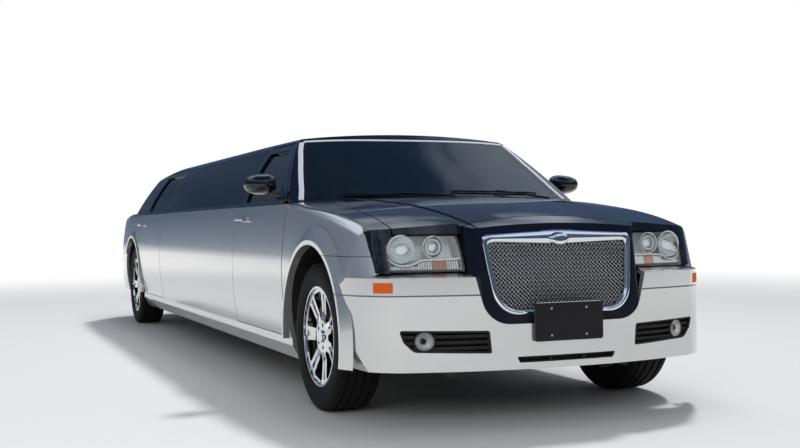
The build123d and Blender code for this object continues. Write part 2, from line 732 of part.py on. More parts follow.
def marker_piece():
    """The amber lamp let into the bumper's left corner."""
    inner = front_hull(8) & plan_cut(Pos(0, 10, 0) * bumper_plan, 200, 1100)
    return largest((bumper_form - inner) & block(700, 1000, f - 690, f - 630, 600, 644))


def grown_marker():
    """The pocket that the amber lamp sits in."""
    inner = front_hull(8 + seat_gap) & plan_cut(Pos(0, 10 + seat_gap, 0) * bumper_plan, 200, 1100)
    return (bumper_form - inner) & block(700, 1000, f - 691, f - 629, 599, 645)


def make_grille():
    """Painted surround, bright ring with a plain boss, and the lattice inside it."""
    surround = nose() - nose(55)
    surround &= front_cut(surround_face, f - 900, f - 600)
    surround += raised_shell() & plan_cut(header_plan(0), hood_lip_z - 7, 1200)
    surround -= front_cut(grown(ring_face, seat_gap), f - 900, f - 500)
    save("grille_surround", largest(surround))
    ring = front_cut(ring_face, f - 900, f - 600) - front_cut(mesh_face, f - 900, f - 600)
    ring &= grille_slab(0, 40)
    boss = front_cut(Pos(0, 828) * Ellipse(46, 24), f - 900, f - 700) & grille_slab(-8, 20)
    save("grille_frame", ring + boss)
    save("grille_mesh", lattice())


mesh_pitch = 38
mesh_bar = 9


def lattice():
    """A diagonal lattice that fills the ring, as one sheet with a diamond hole between each four bars."""
    half = mesh_pitch / 2
    hole = half - mesh_bar / 1.4142
    area = grown(mesh_face, -seat_gap)
    holes = []
    row = 0
    z = grille_low_z
    while z < 880:
        x = -400 + (row % 2) * half
        while x < 400:
            tips = [(x + hole, z), (x, z + hole), (x - hole, z), (x, z - hole)]
            if all(area.is_inside((u, v, 0)) for u, v in tips):
                holes.append(Wire.make_polygon([(u, v) for u, v in tips], close=True))
            x += mesh_pitch
        z += half
        row += 1
    sheet = Face(area.outer_wire(), holes)
    return front_cut(sheet, f - 900, f - 600) & grille_slab(12, 20)


def make_lamps():
    """Headlamp bodies with their reflectors, and the clear covers."""
    bowl = (front_hull(6) & leaning(lamp_plan, lamp_lean, 7)) - leaning(lamp_plan, lamp_lean, 120)
    bowl &= front_cut(lamp_face, f - 900, f - 400)
    hollow = front_cut(grown(lamp_face, -8), f - 900, f - 400) & (
        leaning(lamp_plan, lamp_lean, -10) - leaning(lamp_plan, lamp_lean, 105))
    bowl = largest(bowl - hollow)
    round_lamps = []
    for x, z, radius, depth in ((700, 782, 54, 70), (560, 785, 46, 60)):
        tube = front_cut(Pos(x, z) * Circle(radius), f - 900, f - 400) - front_cut(
            Pos(x, z) * Circle(radius - 6), f - 900, f - 400)
        band_here = leaning(lamp_plan, lamp_lean, 120 - depth) - leaning(lamp_plan, lamp_lean, 106)
        round_lamps.append(tube & band_here)
        eye = front_cut(Pos(x, z) * Circle(radius - 20), f - 900, f - 400)
        round_lamps.append(eye & (leaning(lamp_plan, lamp_lean, 80) - leaning(lamp_plan, lamp_lean, 106)))
    feet = block(520, 700, f - 720, f - 560, lamp_low_z - 6 + seat_gap, lamp_low_z + 4)
    feet &= leaning(lamp_plan, lamp_lean, 14) - leaning(lamp_plan, lamp_lean, 34)
    body = bowl + feet
    for lamp in round_lamps:
        body = body + lamp
    save("headlamp_bodies", *both(body))
    cover = front_hull() & leaning(lamp_plan, lamp_lean, 0)
    cover -= front_hull(4) & leaning(lamp_plan, lamp_lean, 6)
    cover &= front_cut(lamp_face, f - 900, f - 500)
    save("headlamp_covers", *both(largest(cover)))


def make_cowl():
    """The panel under the windscreen."""
    panel = (front_hull(cowl_drop) - front_hull(cowl_drop + 14)) & block(-cowl_half, cowl_half, f + 300,
                                                                        f + 640, 900, 1200)
    panel -= plan_cut(hood_plan(shut_gap), 800, 1200)
    edge = hood_half + 6 - seat_gap
    panel -= block(edge, 1000, f + 300, f + front_door_front, 800, 1200)
    panel -= block(-1000, -edge, f + 300, f + front_door_front, 800, 1200)
    for side in (-1, 1):
        panel -= block(side * 676, side * 800, f + 400, hood_pivot_y + 18, 900, 1200)
    panel -= glazing(screen_base, screen_top, screen_bow, wall + 40, 900, True)
    save("cowl", largest(panel))


def make_rear():
    """Trunk lid, quarter panels, rear bumper and tail lamps."""
    lamp = rounded((640, tail_lamp_low_z, 12), (905, tail_lamp_low_z, 12), (905, tail_lamp_top_z, 30),
                   (668, tail_lamp_top_z, 30))
    lid_face = rounded((-632, rear_shoulder_z + 60, 10), (632, rear_shoulder_z + 60, 10),
                       (deck_half - 26, tail_lamp_top_z + 8, 20), (deck_half, 1200, 0),
                       (-deck_half, 1200, 0), (-deck_half + 26, tail_lamp_top_z + 8, 20))
    lid = tail_shell & front_cut(lid_face, r + deck_front, r + 1200)
    lid &= block(-1000, 1000, r + deck_front, r + 1200, 700, 1200)
    lid = largest(lid)
    recess_y = r + 1040
    lid -= block(-plate_half_width - 12, plate_half_width + 12, recess_y, r + 1200, rear_plate_z - 85,
                 rear_plate_z + 85)
    lid += block(-plate_half_width - 16, plate_half_width + 16, recess_y - 12, recess_y, rear_plate_z - 89,
                 rear_plate_z + 89)
    for x in (-plate_hole_pitch / 2, plate_hole_pitch / 2):
        lid -= rod((x, recess_y - 60, rear_plate_z + 60), (x, recess_y + 60, rear_plate_z + 60), plate_hole)
    brackets = []
    for side in (-1, 1):
        inner, outer = side * 240, side * 280
        ear = block(inner, outer, lid_pivot_y - 8, lid_pivot_y + 60, lid_pivot_z - 20, lid_pivot_z + 8)
        lid += ear & rear_hull(2)
        lid -= rod((inner - 60, lid_pivot_y, lid_pivot_z), (inner + 60, lid_pivot_y, lid_pivot_z),
                   lid_pin + running_gap)
        post = block(outer + side * 3, outer + side * 21, lid_pivot_y - 9, lid_pivot_y + 3, lid_pivot_z - 40,
                     lid_pivot_z + 5)
        brackets.append(post + rod((inner, lid_pivot_y, lid_pivot_z), (outer + side * 4, lid_pivot_y,
                                                                    lid_pivot_z), lid_pin))
    save("trunk_lid", lid)
    quarter = tail_shell + mirror_pair(flare(r) & block(700, 1000, r - 600, r + 700, rear_shoulder_z - 400,
                                                        900))
    quarter &= block(-1000, 1000, r + rear_door_rear - 160, r + 1200, door_low_z, 1200)
    for x0, x1 in ((500, 1000), (-1000, -500)):
        quarter -= side_cut(rear_door_outline(shut_gap), x0, x1)
    quarter -= front_cut(grown(lid_face, 5), lid_pivot_y - 14, r + 1300)
    floor_strip = block(-deck_half + 40, deck_half - 40, lid_pivot_y - 40, lid_pivot_y + 4, lid_pivot_z - 60,
                        lid_pivot_z - 40 - seat_gap)
    quarter += floor_strip
    quarter += block(-deck_half + 40, deck_half - 40, lid_pivot_y - 40, lid_pivot_y - 16, lid_pivot_z - 60,
                     lid_pivot_z) & rear_hull(1)
    seat = front_cut(grown(lamp, seat_gap), r + 820, r + 1300)
    quarter -= seat + mirrored(seat)
    quarter -= block(-1000, 1000, r + 200, r + 1300, 0, rear_shoulder_z + seat_gap)
    quarter -= (rear_hull() - rear_hull(8)) & block(-1000, 1000, r + 200, r + 1300, rear_shoulder_z,
                                                   rear_shoulder_z + 4)
    quarter -= arch(r)
    quarter -= block(-door_inner_half, door_inner_half, r - 700, r + 100, 900, 1200)
    save("quarter_panels", largest(quarter))
    light = tail_form - (rear_hull(60) & leaning(tail_plan, tail_lean, -60))
    light &= front_cut(lamp, r + 830, r + 1300)
    save("tail_lamps", *both(largest(light)))
    whole = rear_bumper_form & block(-1000, 1000, r + 340, r + 1300, 290, rear_shoulder_z)
    core = rear_bumper_core & block(-1000, 1000, r, r + 1300, 200, rear_shoulder_z - 16)
    hollow = block(-860, 860, r + 300, r + 960, rear_shoulder_z - 60, rear_shoulder_z + 10)
    hollow += rear_hull(skin) & block(-1000, 1000, r + 300, r + 480, rear_shoulder_z - 60,
                                      rear_shoulder_z + 10)
    save("rear_bumper", largest(whole - core - arch(r) - hollow))
    return brackets


def make_wheels():
    """Four tyres and rims, each centred on its own axle end."""
    half, side = tyre_width / 2, rim_width / 2
    rubber = outline((-side, rim_radius + bead_gap), ((-half, (rim_radius + tyre_radius) / 2),
                     (-half + tread_round, tyre_radius - 6)), (-half + tread_round + 20, tyre_radius),
                     (half - tread_round - 20, tyre_radius), (half - tread_round, tyre_radius - 6),
                     ((half, (rim_radius + tyre_radius) / 2), (side, rim_radius + bead_gap)))
    bore = rim_radius - rim_barrel_wall
    barrel = outline((-side, bore + 2), (-side, rim_radius), (side, rim_radius), (side, bore + 2),
                     (side - 14, bore), (-side + 14, bore))
    wheel_axis = Axis((0, 0, 0), (1, 0, 0))
    wheel_plane = Plane(origin=(0, 0, 0), x_dir=(1, 0, 0), z_dir=(0, -1, 0))
    tyre = revolve(wheel_plane * rubber, wheel_axis, 360)
    rim = revolve(wheel_plane * barrel, wheel_axis, 360)
    # The bright face is a dish with a window between each two spokes and a groove down each spoke
    hub_x, dip_x, edge_x = side - face_set, side - 24, side - 10
    dish = outline((hub_x - hub_depth, 0), (hub_x, 0), (hub_x, hub_radius), (dip_x, dip_radius),
                   (edge_x, bore + 4), (edge_x - face_thick, bore + 4), (dip_x - face_thick, dip_radius),
                   (hub_x - hub_depth, hub_radius))
    behind = outline((-side, 0), (hub_x - spoke_groove, 0), (hub_x - spoke_groove, hub_radius - 4),
                     (dip_x - spoke_groove, dip_radius), (edge_x - spoke_groove, bore + 4),
                     (-side, bore + 4))
    face = revolve(wheel_plane * dish, wheel_axis, 360)
    window = side_cut(rounded((92, -12, 6), (214, -64, 16), (214, 64, 16), (92, 12, 6)), 0, tyre_width)
    channel = side_cut(rounded((104, -6, 0), (212, -14, 0), (212, 14, 0), (104, 6, 0)), 0, tyre_width)
    channel -= revolve(wheel_plane * behind, wheel_axis, 360)
    for i in range(spoke_count):
        turn = i * 360 / spoke_count
        face -= Rot(turn, 0, 0) * window + Rot(turn + 180 / spoke_count, 0, 0) * channel
    for i in range(lug_count):
        face -= Rot(i * 360 / lug_count, 0, 0) * disc(hub_x - 24, hub_x + 10, lug_circle, 0, lug_hole)
    rim += face + disc(hub_x - 30, hub_x + 9, 0, 0, cap_radius)
    rim -= disc(hub_x - 100, hub_x - spindle_set + 2, 0, 0, spindle_radius + running_gap)
    for name, x, y in (("front_left", track / 2, f), ("front_right", -track / 2, f),
                       ("rear_left", track / 2, r), ("rear_right", -track / 2, r)):
        turn = Pos(x, y, tyre_radius) * (Rot(0, 0, 0) if x > 0 else Rot(0, 0, 180))
        save("tyre_" + name, turn * tyre)
        save("rim_" + name, turn * rim)


kingpin_half = 722
kingpin_radius = 12
rear_liner_half = 660


subframe_top = 256
floor_low, floor_top = 232, 262
boot_floor = 500
rail_low, rail_high = 440, 520
rail_inner, rail_outer = 400, 470
pipe_radius = 28
pipe_half = 470


def pipe(points, radius):
    """A round tube of straight runs with ball-shaped bends."""
    whole = rod(points[0], points[1], radius)
    for a, b in zip(points[1:], points[2:]):
        whole = whole + rod(a, b, radius) + Pos(*a) * Sphere(radius)
    return whole


def make_chassis():
    """Knuckles, suspension, rear axle, floor, engine and exhaust."""
    face_x = track / 2 + rim_width / 2 - face_set
    hub_x, end_x = face_x - hub_depth, face_x - spindle_set
    z = tyre_radius
    pin_low, pin_high = z - 146, z + 146
    knuckle = disc(kingpin_half, end_x, f, z, spindle_radius)
    knuckle += disc(hub_x - 36, hub_x - 12, f, z, 160)
    knuckle += disc(hub_x - 60, hub_x - 8, f, z, 64)
    knuckle += block(kingpin_half - 24, kingpin_half + 22, f - 34, f + 34, pin_low + 24, pin_high - 24)
    knuckle -= rod((kingpin_half, f, 0), (kingpin_half, f, 900), kingpin_radius + running_gap)
    save("knuckle_left", knuckle)
    save("knuckle_right", mirrored(knuckle))
    frame = block(-rail_outer, rail_outer, f - 90, f + 90, subframe_top - 60, subframe_top)
    for side in (-1, 1):
        frame += rod((side * 440, f, pin_low), (side * kingpin_half, f, pin_low), 22)
        frame += rod((side * 600, f, pin_high), (side * kingpin_half, f, pin_high), 22)
        frame += rod((side * kingpin_half, f, pin_low), (side * kingpin_half, f, pin_high), kingpin_radius)
        frame += rod((side * 600, f, pin_high), (side * 590, f, tyre_radius + arch_radius - 1), 24)
        frame += rod((side * 435, f, subframe_top - 10), (side * 435, f, rail_low - seat_gap), 30)
    save("front_suspension", frame)
    half_axle = outline((0, 0), (0, 128), ((60, 112), (110, 62)), (150, 44), (560, 44),
                        (560, spindle_radius), (hub_x - 40, spindle_radius), (hub_x - 40, 158),
                        (hub_x - 14, 158),
                        (hub_x - 14, spindle_radius), (end_x, spindle_radius), (end_x, 0))
    turned = Plane(origin=(0, r, z), x_dir=(1, 0, 0), z_dir=(0, -1, 0)) * half_axle
    half_axle = revolve(turned, Axis((0, r, z), (1, 0, 0)), 360)
    half_axle += block(470, 530, r - 30, r + 30, z, boot_floor - seat_gap)
    axle = half_axle + mirrored(half_axle)
    save("rear_axle", axle)
    wide = door_inner_half - 40
    floor = block(-wide, wide, f + 480, r - 480, floor_low, floor_top)
    floor += block(-rear_liner_half, rear_liner_half, r - 480, r + 960, boot_floor, boot_floor + 30)
    floor += block(-rear_liner_half, rear_liner_half, r - 500, r - 470, floor_low, boot_floor + 30)
    floor += block(-700, 700, f + 470, f + 500, floor_low, 900)
    beam = rear_hull(skin + seat_gap)
    beam &= plan_cut(Pos(0, -skin * 1.2 - seat_gap, 0) * rear_bumper_plan, 300, 900)
    floor += beam & block(-600, 600, r + 940, r + 1100, boot_floor - 40, boot_floor + 60)
    crush = front_hull(skin + seat_gap) & plan_cut(Pos(0, skin * 1.2 + seat_gap, 0) * bumper_plan, 300, 900)
    for side in (-1, 1):
        floor += block(side * rail_inner, side * rail_outer, f - 730, f + 480, rail_low, rail_high)
        floor += crush & block(side * 430, side * 560, f - 830, f - 700, rail_low + 15, rail_high)
        post_y = f + arch_radius + 8, f + front_door_front - shut_gap
        floor += block(side * 640, side * (wide - seat_gap), *post_y, floor_low, 960)
        floor += block(side * 640, side * (hinge_half - hinge_crank - seat_gap), *post_y,
                       sill_top_z + seat_gap, 960)
    save("floor_pan", floor)
    save("engine", block(-290, 290, f - 160, f + 440, subframe_top + seat_gap, 880))
    low = floor_low - seat_gap - pipe_radius
    run = pipe(((pipe_half, f + 700, low), (pipe_half, r - 300, low), (pipe_half, r + 300, 262),
                (pipe_half, r + 1075, 262)), pipe_radius)
    run += rod((pipe_half, r + 600, 262), (pipe_half, r + 600, boot_floor - seat_gap), 8)
    save("exhaust", *both(run))
    liners = []
    for axle_y, form, inner in ((f, front_hull(skin + seat_gap), 500),
                                (r, rear_hull(skin + seat_gap), rear_liner_half + seat_gap)):
        ring = disc(inner, 960, axle_y, tyre_radius, arch_radius + 6) - disc(
            inner - 1, 961, axle_y, tyre_radius, arch_radius)
        liners += both(largest(ring & form & block(0, 1000, axle_y - 460, axle_y + 460, 420, 900)))
    save("wheel_liners", *liners)


def seat_row(x0, x1, y, cushion_top, back_top, depth, base=floor_top + seat_gap):
    """A seat or bench across the car: a crowned cushion on its base and a leaning back, facing forwards."""
    profile = rounded((y, base, 0), (y, cushion_top - 20, 60), (y + depth * 0.5, cushion_top, 0),
                      (y + depth - 20, cushion_top - 30, 0), (y + depth + 60, back_top, 40),
                      (y + depth + 150, back_top - 10, 40), (y + depth + 120, base, 0))
    across = rounded((x0, base, 0), (x0, cushion_top, 40), (x0 + 30, back_top, 60), (x1 - 30, back_top, 60),
                     (x1, cushion_top, 40), (x1, base, 0))
    return side_cut(profile, x0, x1) & front_cut(across, y - 50, y + depth + 300)


def make_cabin():
    """Dashboard with the steering wheel, seats and door mirrors."""
    profile = rounded((f + 500 + seat_gap, 620, 0), (f + 500 + seat_gap, 930, 0), (f + 640, 968, 40),
                      (f + 770, 930, 50), (f + 800, 840, 30), (f + 730, 640, 60))
    panel = side_cut(profile, -700, 700)
    wheel_at, tilt = (370, f + 930, 850), 62
    rim_ring = Pos(*wheel_at) * Rot(tilt, 0, 0) * Torus(178, 15)
    hub = Pos(*wheel_at) * Rot(tilt, 0, 0) * Cylinder(52, 34)
    spokes = [Pos(*wheel_at) * Rot(tilt, 0, 0) * Rot(0, 0, turn) * Pos(0, -100, 0) * Box(34, 150, 12)
              for turn in (90, -90, 180)]
    column = rod(wheel_at, (370, f + 760, 780), 32)
    panel = panel + rim_ring + hub + column
    for spoke in spokes:
        panel += spoke
    save("dashboard", panel)
    seats = [seat_row(x - 250, x + 250, f + 1120, 600, 1160, 480) for x in (-370, 370)]
    seats.append(seat_row(-640, 640, r - 560, 700, 1120, 500, boot_floor + 30 + seat_gap))
    bench = rounded((400, floor_top + seat_gap, 0), (400, 600, 50), (600, 590, 0), (640, 900, 40),
                    (760, 900, 40), (770, floor_top + seat_gap, 0))
    seats.append(front_cut(bench, f + 2100, r - 1560))
    save("seats", *seats)
    low, top = mirror_low_z, mirror_top_z
    shell = plan_cut(rounded((902, f + 742, 24), (1000, f + 732, 40), (1049, f + 800, 30),
                             (1044, f + 856, 14), (906, f + 856, 10)), low, top)
    shell &= front_cut(rounded((902, low + 8, 30), (1049, low, 34), (1049, top - 10, 38), (902, top, 34)),
                       f + 700, f + 900)
    shell &= side_cut(rounded((f + 732, low + 18, 24), (f + 856, low, 8), (f + 856, top, 8),
                              (f + 732, top - 22, 30)), 800, 1100)
    shell -= front_cut(rounded((914, low + 16, 24), (1036, low + 10, 26), (1036, top - 18, 26),
                               (914, top - 12, 24)), f + 848, f + 900)
    arm = plan_cut(rounded((868, f + 752, 6), (912, f + 760, 6), (912, f + 812, 6), (868, f + 812, 6)),
                   belt_z - 3 + seat_gap, low + 46)
    save("mirror_left", shell + arm)
    save("mirror_right", mirrored(shell + arm))


os.makedirs("parts", exist_ok=True)
hinges = make_doors()
make_sides()
make_glasshouse()
hinges += make_hood_and_fenders()
make_bumper()
make_grille()
make_lamps()
make_cowl()
hinges += make_rear()
save("hinges", *hinges)
make_wheels()
make_chassis()
make_cabin()
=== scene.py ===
# %% [markdown]
# A stretch limousine is a saloon that was cut behind the front doors and lengthened. This lesson dresses
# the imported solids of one: they give every panel its place, and Blender adds paint, glass, wire mesh,
# lamps, tyres and seats. The solids are loaded once and are never moved, so all sizes below are metres
# in their frame: the front faces -Y, +X is the car's left side and the ground is at Z = 0.

# %% Load the solids
from math import cos, exp, hypot, pi, radians, sin, sqrt, tan

import bmesh
import bpy
from mathutils import Matrix, Vector


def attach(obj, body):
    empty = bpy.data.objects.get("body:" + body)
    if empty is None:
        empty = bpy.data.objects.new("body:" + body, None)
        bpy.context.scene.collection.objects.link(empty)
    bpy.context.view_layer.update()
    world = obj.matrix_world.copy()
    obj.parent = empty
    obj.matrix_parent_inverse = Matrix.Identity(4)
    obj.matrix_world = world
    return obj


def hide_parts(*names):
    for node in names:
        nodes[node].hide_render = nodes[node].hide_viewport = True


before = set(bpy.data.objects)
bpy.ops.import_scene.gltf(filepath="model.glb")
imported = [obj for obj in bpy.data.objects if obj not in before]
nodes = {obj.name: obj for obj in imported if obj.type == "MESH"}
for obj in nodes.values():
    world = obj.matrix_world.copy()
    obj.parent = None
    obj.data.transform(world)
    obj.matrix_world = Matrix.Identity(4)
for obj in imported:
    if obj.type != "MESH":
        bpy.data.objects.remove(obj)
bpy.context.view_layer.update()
wheelbase = 5.588
front_axle = -2.9195
rear_axle = front_axle + wheelbase
tyre_radius = 0.36
half_track = 0.8

# %% [markdown]
# The camera is a real one with a long normal lens. It stands low, ahead of the car's right corner. Its
# place and turn were solved from the wheels, the plate and the windscreen's corners, so the picture has
# the same perspective as the photograph. Aim is written as three turns, because a small roll is part of it.

# %% Camera
camera_place = Vector((-2.563, -8.091, 0.895))
camera_yaw = 0.3856
camera_pitch = 0.0010
camera_roll = -0.0125
lens_mm = 50.21

level_right = Vector((cos(camera_yaw), -sin(camera_yaw), 0))
level_ahead = Vector((sin(camera_yaw), cos(camera_yaw), 0))
up = Vector((0, 0, 1))
ahead = level_ahead * cos(camera_pitch) + up * sin(camera_pitch)
over = up * cos(camera_pitch) - level_ahead * sin(camera_pitch)
right = level_right * cos(camera_roll) + over * sin(camera_roll)
above = over * cos(camera_roll) - level_right * sin(camera_roll)
scene = bpy.context.scene
camera = bpy.data.objects.new("camera", bpy.data.cameras.new("camera"))
scene.collection.objects.link(camera)
camera.matrix_world = Matrix.Translation(camera_place) @ Matrix((right, above, -ahead)).transposed().to_4x4()
camera.data.lens = lens_mm
camera.data.sensor_width = 36
camera.data.clip_end = 200
scene.camera = camera
scene.view_settings.view_transform = "Standard"
print("camera at", tuple(round(c, 2) for c in camera_place))

# %% [markdown]
# Shaders are small graphs. A few helpers keep them readable: they add a node with its settings and inputs,
# do one sum, and blend two colours or two values. An input is a plain value, or a socket of another node,
# which is then linked.

# %% Helpers for shader graphs
def feed(tree, node, **inputs):
    """Set or link a node's inputs, named as in Blender with _ for a space, or by place as i0, i1."""
    for key, value in inputs.items():
        socket = node.inputs[int(key[1:]) if key[0] == "i" and key[1:].isdigit() else key.replace("_", " ")]
        if isinstance(value, bpy.types.NodeSocket):
            tree.links.new(value, socket)
        else:
            socket.default_value = value
    return node


def add_node(tree, kind, settings=None, **inputs):
    """A new node of that kind with its settings and inputs."""
    made = tree.nodes.new("ShaderNode" + kind)
    for key, value in (settings or {}).items():
        setattr(made, key, value)
    return feed(tree, made, **inputs)


def maths(tree, operation, first, second=0.0):
    """One sum of two values."""
    return add_node(tree, "Math", {"operation": operation}, i0=first, i1=second).outputs[0]


def blend(tree, mask, first, second):
    """The first colour where the mask is 0 and the second where it is 1."""
    first, second = (value if isinstance(value, bpy.types.NodeSocket) else (*value, 1)
                     for value in (first, second))
    return add_node(tree, "Mix", {"data_type": "RGBA"}, i0=mask, i6=first, i7=second).outputs[2]


def between(tree, mask, first, second):
    """The first value where the mask is 0 and the second where it is 1."""
    return maths(tree, "ADD", maths(tree, "MULTIPLY", mask, second - first), first)


print("node helpers ready")

# %% [markdown]
# A node group is a small graph of its own with named inputs and outputs, so that several materials can
# share one effect. A material holds one Principled shader, and its plain values are set as it is made.

# %% Helpers for groups and materials
def new_group(name, inputs, outputs):
    """An empty node group with named inputs (name: value) and named outputs (name: kind of socket)."""
    group = bpy.data.node_groups.new(name, "ShaderNodeTree")
    for key, value in inputs.items():
        socket = group.interface.new_socket(key, in_out="INPUT", socket_type="NodeSocketFloat")
        socket.default_value = value
    for key, kind in outputs.items():
        group.interface.new_socket(key, in_out="OUTPUT", socket_type="NodeSocket" + kind)
    return group, group.nodes.new("NodeGroupInput").outputs, group.nodes.new("NodeGroupOutput").inputs


def use_group(tree, group, **inputs):
    """That group placed in a material with its own values."""
    made = tree.nodes.new("ShaderNodeGroup")
    made.node_tree = group
    return feed(tree, made, **inputs).outputs


def new_material(name, colour, roughness, metallic=0.0, **sockets):
    """A material with its Principled shader set: returns the material, its graph and the shader."""
    made = bpy.data.materials.new(name)
    made.use_nodes = True
    tree = made.node_tree
    shader = feed(tree, tree.nodes["Principled BSDF"], Base_Color=(*colour, 1), Roughness=roughness,
                  Metallic=metallic, **sockets)
    return made, tree, shader


print("material helpers ready")

# %% [markdown]
# Three effects come back in many finishes, so each is a node group. Grain is fine noise for bumps. Dust is
# a mask that is strongest near the road and breaks up in patches. Ripple is the faint waviness that sprayed
# lacquer keeps, which lets reflections bend a little.

# %% Shared effects
grain_group, take, give = new_group("Grain", {"Scale": 400.0, "Detail": 3.0}, {"Height": "Float"})
where = add_node(grain_group, "TexCoord").outputs["Object"]
noise = add_node(grain_group, "TexNoise", Vector=where, Scale=take["Scale"], Detail=take["Detail"])
grain_group.links.new(noise.outputs["Fac"], give["Height"])

dust_group, take, give = new_group("Road dust", {"Top": 0.6, "Amount": 0.3}, {"Mask": "Float"})
where = add_node(dust_group, "TexCoord").outputs["Object"]
height = add_node(dust_group, "SeparateXYZ", Vector=where).outputs["Z"]
low = add_node(dust_group, "MapRange", i0=height, i1=take["Top"], i2=0.1, i3=0.0, i4=1.0).outputs[0]
patch = add_node(dust_group, "TexNoise", Vector=where, Scale=9.0, Detail=5.0).outputs["Fac"]
spread = maths(dust_group, "MULTIPLY", low, patch)
dust_group.links.new(maths(dust_group, "MULTIPLY", spread, take["Amount"]), give["Mask"])

ripple_group, take, give = new_group("Lacquer ripple", {"Scale": 5.0, "Height": 0.0004},
                                     {"Normal": "Vector"})
where = add_node(ripple_group, "TexCoord").outputs["Object"]
wave = add_node(ripple_group, "TexNoise", Vector=where, Scale=take["Scale"], Detail=1.0).outputs["Fac"]
bumped = add_node(ripple_group, "Bump", Strength=1.0, Distance=take["Height"], Height=wave)
ripple_group.links.new(bumped.outputs["Normal"], give["Normal"])
print("shared effects:", grain_group.name, dust_group.name, ripple_group.name)

# %% [markdown]
# The body has two colours. Everything above one line along the car is deep blue-black, and below it is
# silver. On the front wing that line runs down to the headlamp, so it isn't level: a float curve gives its
# height for each place along the car. One group then serves wings, doors, quarters and lid alike.

# %% The line between the two colours
line_points = ((-0.604, 0.670), (-0.588, 0.714), (-0.569, 0.760), (-0.552, 0.798), (-0.539, 0.829),
               (-0.521, 0.862), (-0.490, 0.880), (-0.448, 0.894), (-0.369, 0.912), (-0.288, 0.927),
               (-0.124, 0.952), (0.042, 0.969), (0.226, 0.984), (0.420, 1.004), (0.520, 1.013))
line_low, line_high = 0.60, 1.10
line_blur = 0.0015
line_group, take, give = new_group("Two colours", {"Raise": 0.0}, {"Mask": "Float"})
where = add_node(line_group, "TexCoord").outputs["Object"]
axes = add_node(line_group, "SeparateXYZ", Vector=where).outputs
along = add_node(line_group, "MapRange", i0=axes["Y"], i1=front_axle + line_points[0][0],
                 i2=front_axle + line_points[-1][0]).outputs[0]
curve = add_node(line_group, "FloatCurve", i1=along)
curve_points = curve.mapping.curves[0].points
span = line_points[-1][0] - line_points[0][0]
places = [((y - line_points[0][0]) / span, (z - line_low) / (line_high - line_low)) for y, z in line_points]
curve_points[0].location = places[0]
curve_points[1].location = places[-1]
for place in places[1:-1]:
    curve_points.new(*place)
curve.mapping.update()
rise = maths(line_group, "MULTIPLY", curve.outputs[0], line_high - line_low)
line_z = maths(line_group, "ADD", maths(line_group, "ADD", rise, line_low), take["Raise"])
over_line = maths(line_group, "SUBTRACT", axes["Z"], line_z)
edge = add_node(line_group, "MapRange", i0=over_line, i1=-line_blur, i2=line_blur)
line_group.links.new(edge.outputs[0], give["Mask"])
print("colour line has", len(line_points), "points")

# %% [markdown]
# Car paint is a colour under clear lacquer. Silver has metal flakes in it, so it is partly metallic with a
# soft sheen. Black has no flakes that one could see, only depth. Two details belong to some panels alone: a
# bright door handle, and painted shade along a crease, a dark line where shadow falls in its groove. Each is
# a function that lays a masked layer over the paint, so all panels can share the rest.

# %% Paint colours and layers
# Colour, metallic and roughness of the two paints
black = ((0.0045, 0.006, 0.012), 0.0, 0.11)
silver = ((0.70, 0.70, 0.69), 0.78, 0.17)
dust_colour = (0.36, 0.33, 0.29)
chrome_colour = (0.80, 0.80, 0.81)
# Painted shade for creases: a dark colour laid where shadow falls in a groove, then its half width, outer
# edge and strength
crease_shade_colour = (0.02, 0.02, 0.024)
crease_shade_half, crease_shade_end, crease_shade_share = 0.0024, 0.0040, 0.85
handle_x, handle_z, handle_half = 0.9245, 0.935, 0.035
handle_polish = 0.8


def object_axes(tree):
    """X, Y and Z of each point of the car, in metres."""
    return add_node(tree, "SeparateXYZ", Vector=add_node(tree, "TexCoord").outputs["Object"]).outputs


def with_handle(tree, colour, metal, rough):
    """Bright metal where a door stands out beyond its skin, at the height of the handle."""
    place = object_axes(tree)
    outside = maths(tree, "GREATER_THAN", maths(tree, "ABSOLUTE", place["X"]), handle_x)
    off_height = maths(tree, "ABSOLUTE", maths(tree, "SUBTRACT", place["Z"], handle_z))
    pull = maths(tree, "MULTIPLY", outside, maths(tree, "LESS_THAN", off_height, handle_half))
    polish = maths(tree, "SUBTRACT", 1.0, maths(tree, "MULTIPLY", pull, handle_polish))
    return (blend(tree, pull, colour, chrome_colour), maths(tree, "MAXIMUM", metal, pull),
            maths(tree, "MULTIPLY", rough, polish))


def with_crease(tree, colour, metal, normal, crease, lean, last_y):
    """Painted shade along a line at the crease's height, up to last_y; above it the panel may lean back."""
    place = object_axes(tree)
    height = maths(tree, "SUBTRACT", place["Z"], crease)
    if lean:
        fall = maths(tree, "MULTIPLY", maths(tree, "MAXIMUM", height, 0.0), -lean)
        leant = add_node(tree, "Bump", Strength=1.0, Distance=1.0, Height=fall, Normal=normal)
        normal = leant.outputs["Normal"]
    # Painted shade: near the crease line the colour turns dark and loses its metal, as if the groove were in
    # shadow
    crease_shade = add_node(tree, "MapRange", i0=maths(tree, "ABSOLUTE", height), i1=crease_shade_half, i2=crease_shade_end,
                     i3=crease_shade_share, i4=0.0).outputs[0]
    crease_shade = maths(tree, "MULTIPLY", crease_shade, maths(tree, "LESS_THAN", place["Y"], last_y))
    metal = maths(tree, "MULTIPLY", metal, maths(tree, "SUBTRACT", 1.0, crease_shade))
    return blend(tree, crease_shade, colour, crease_shade_colour), metal, normal


print("handle layer at", handle_z, "m")

# %% [markdown]
# One function then makes every paint from the colour above the line and the colour below it. Where they
# differ, the line's mask blends them. Where they are the same, metallic is one number all over, and it is
# set on the shader itself. The lacquer is the shader's coat, which adds the sharp reflection on top. A very
# small noise in the roughness stands for the flakes.

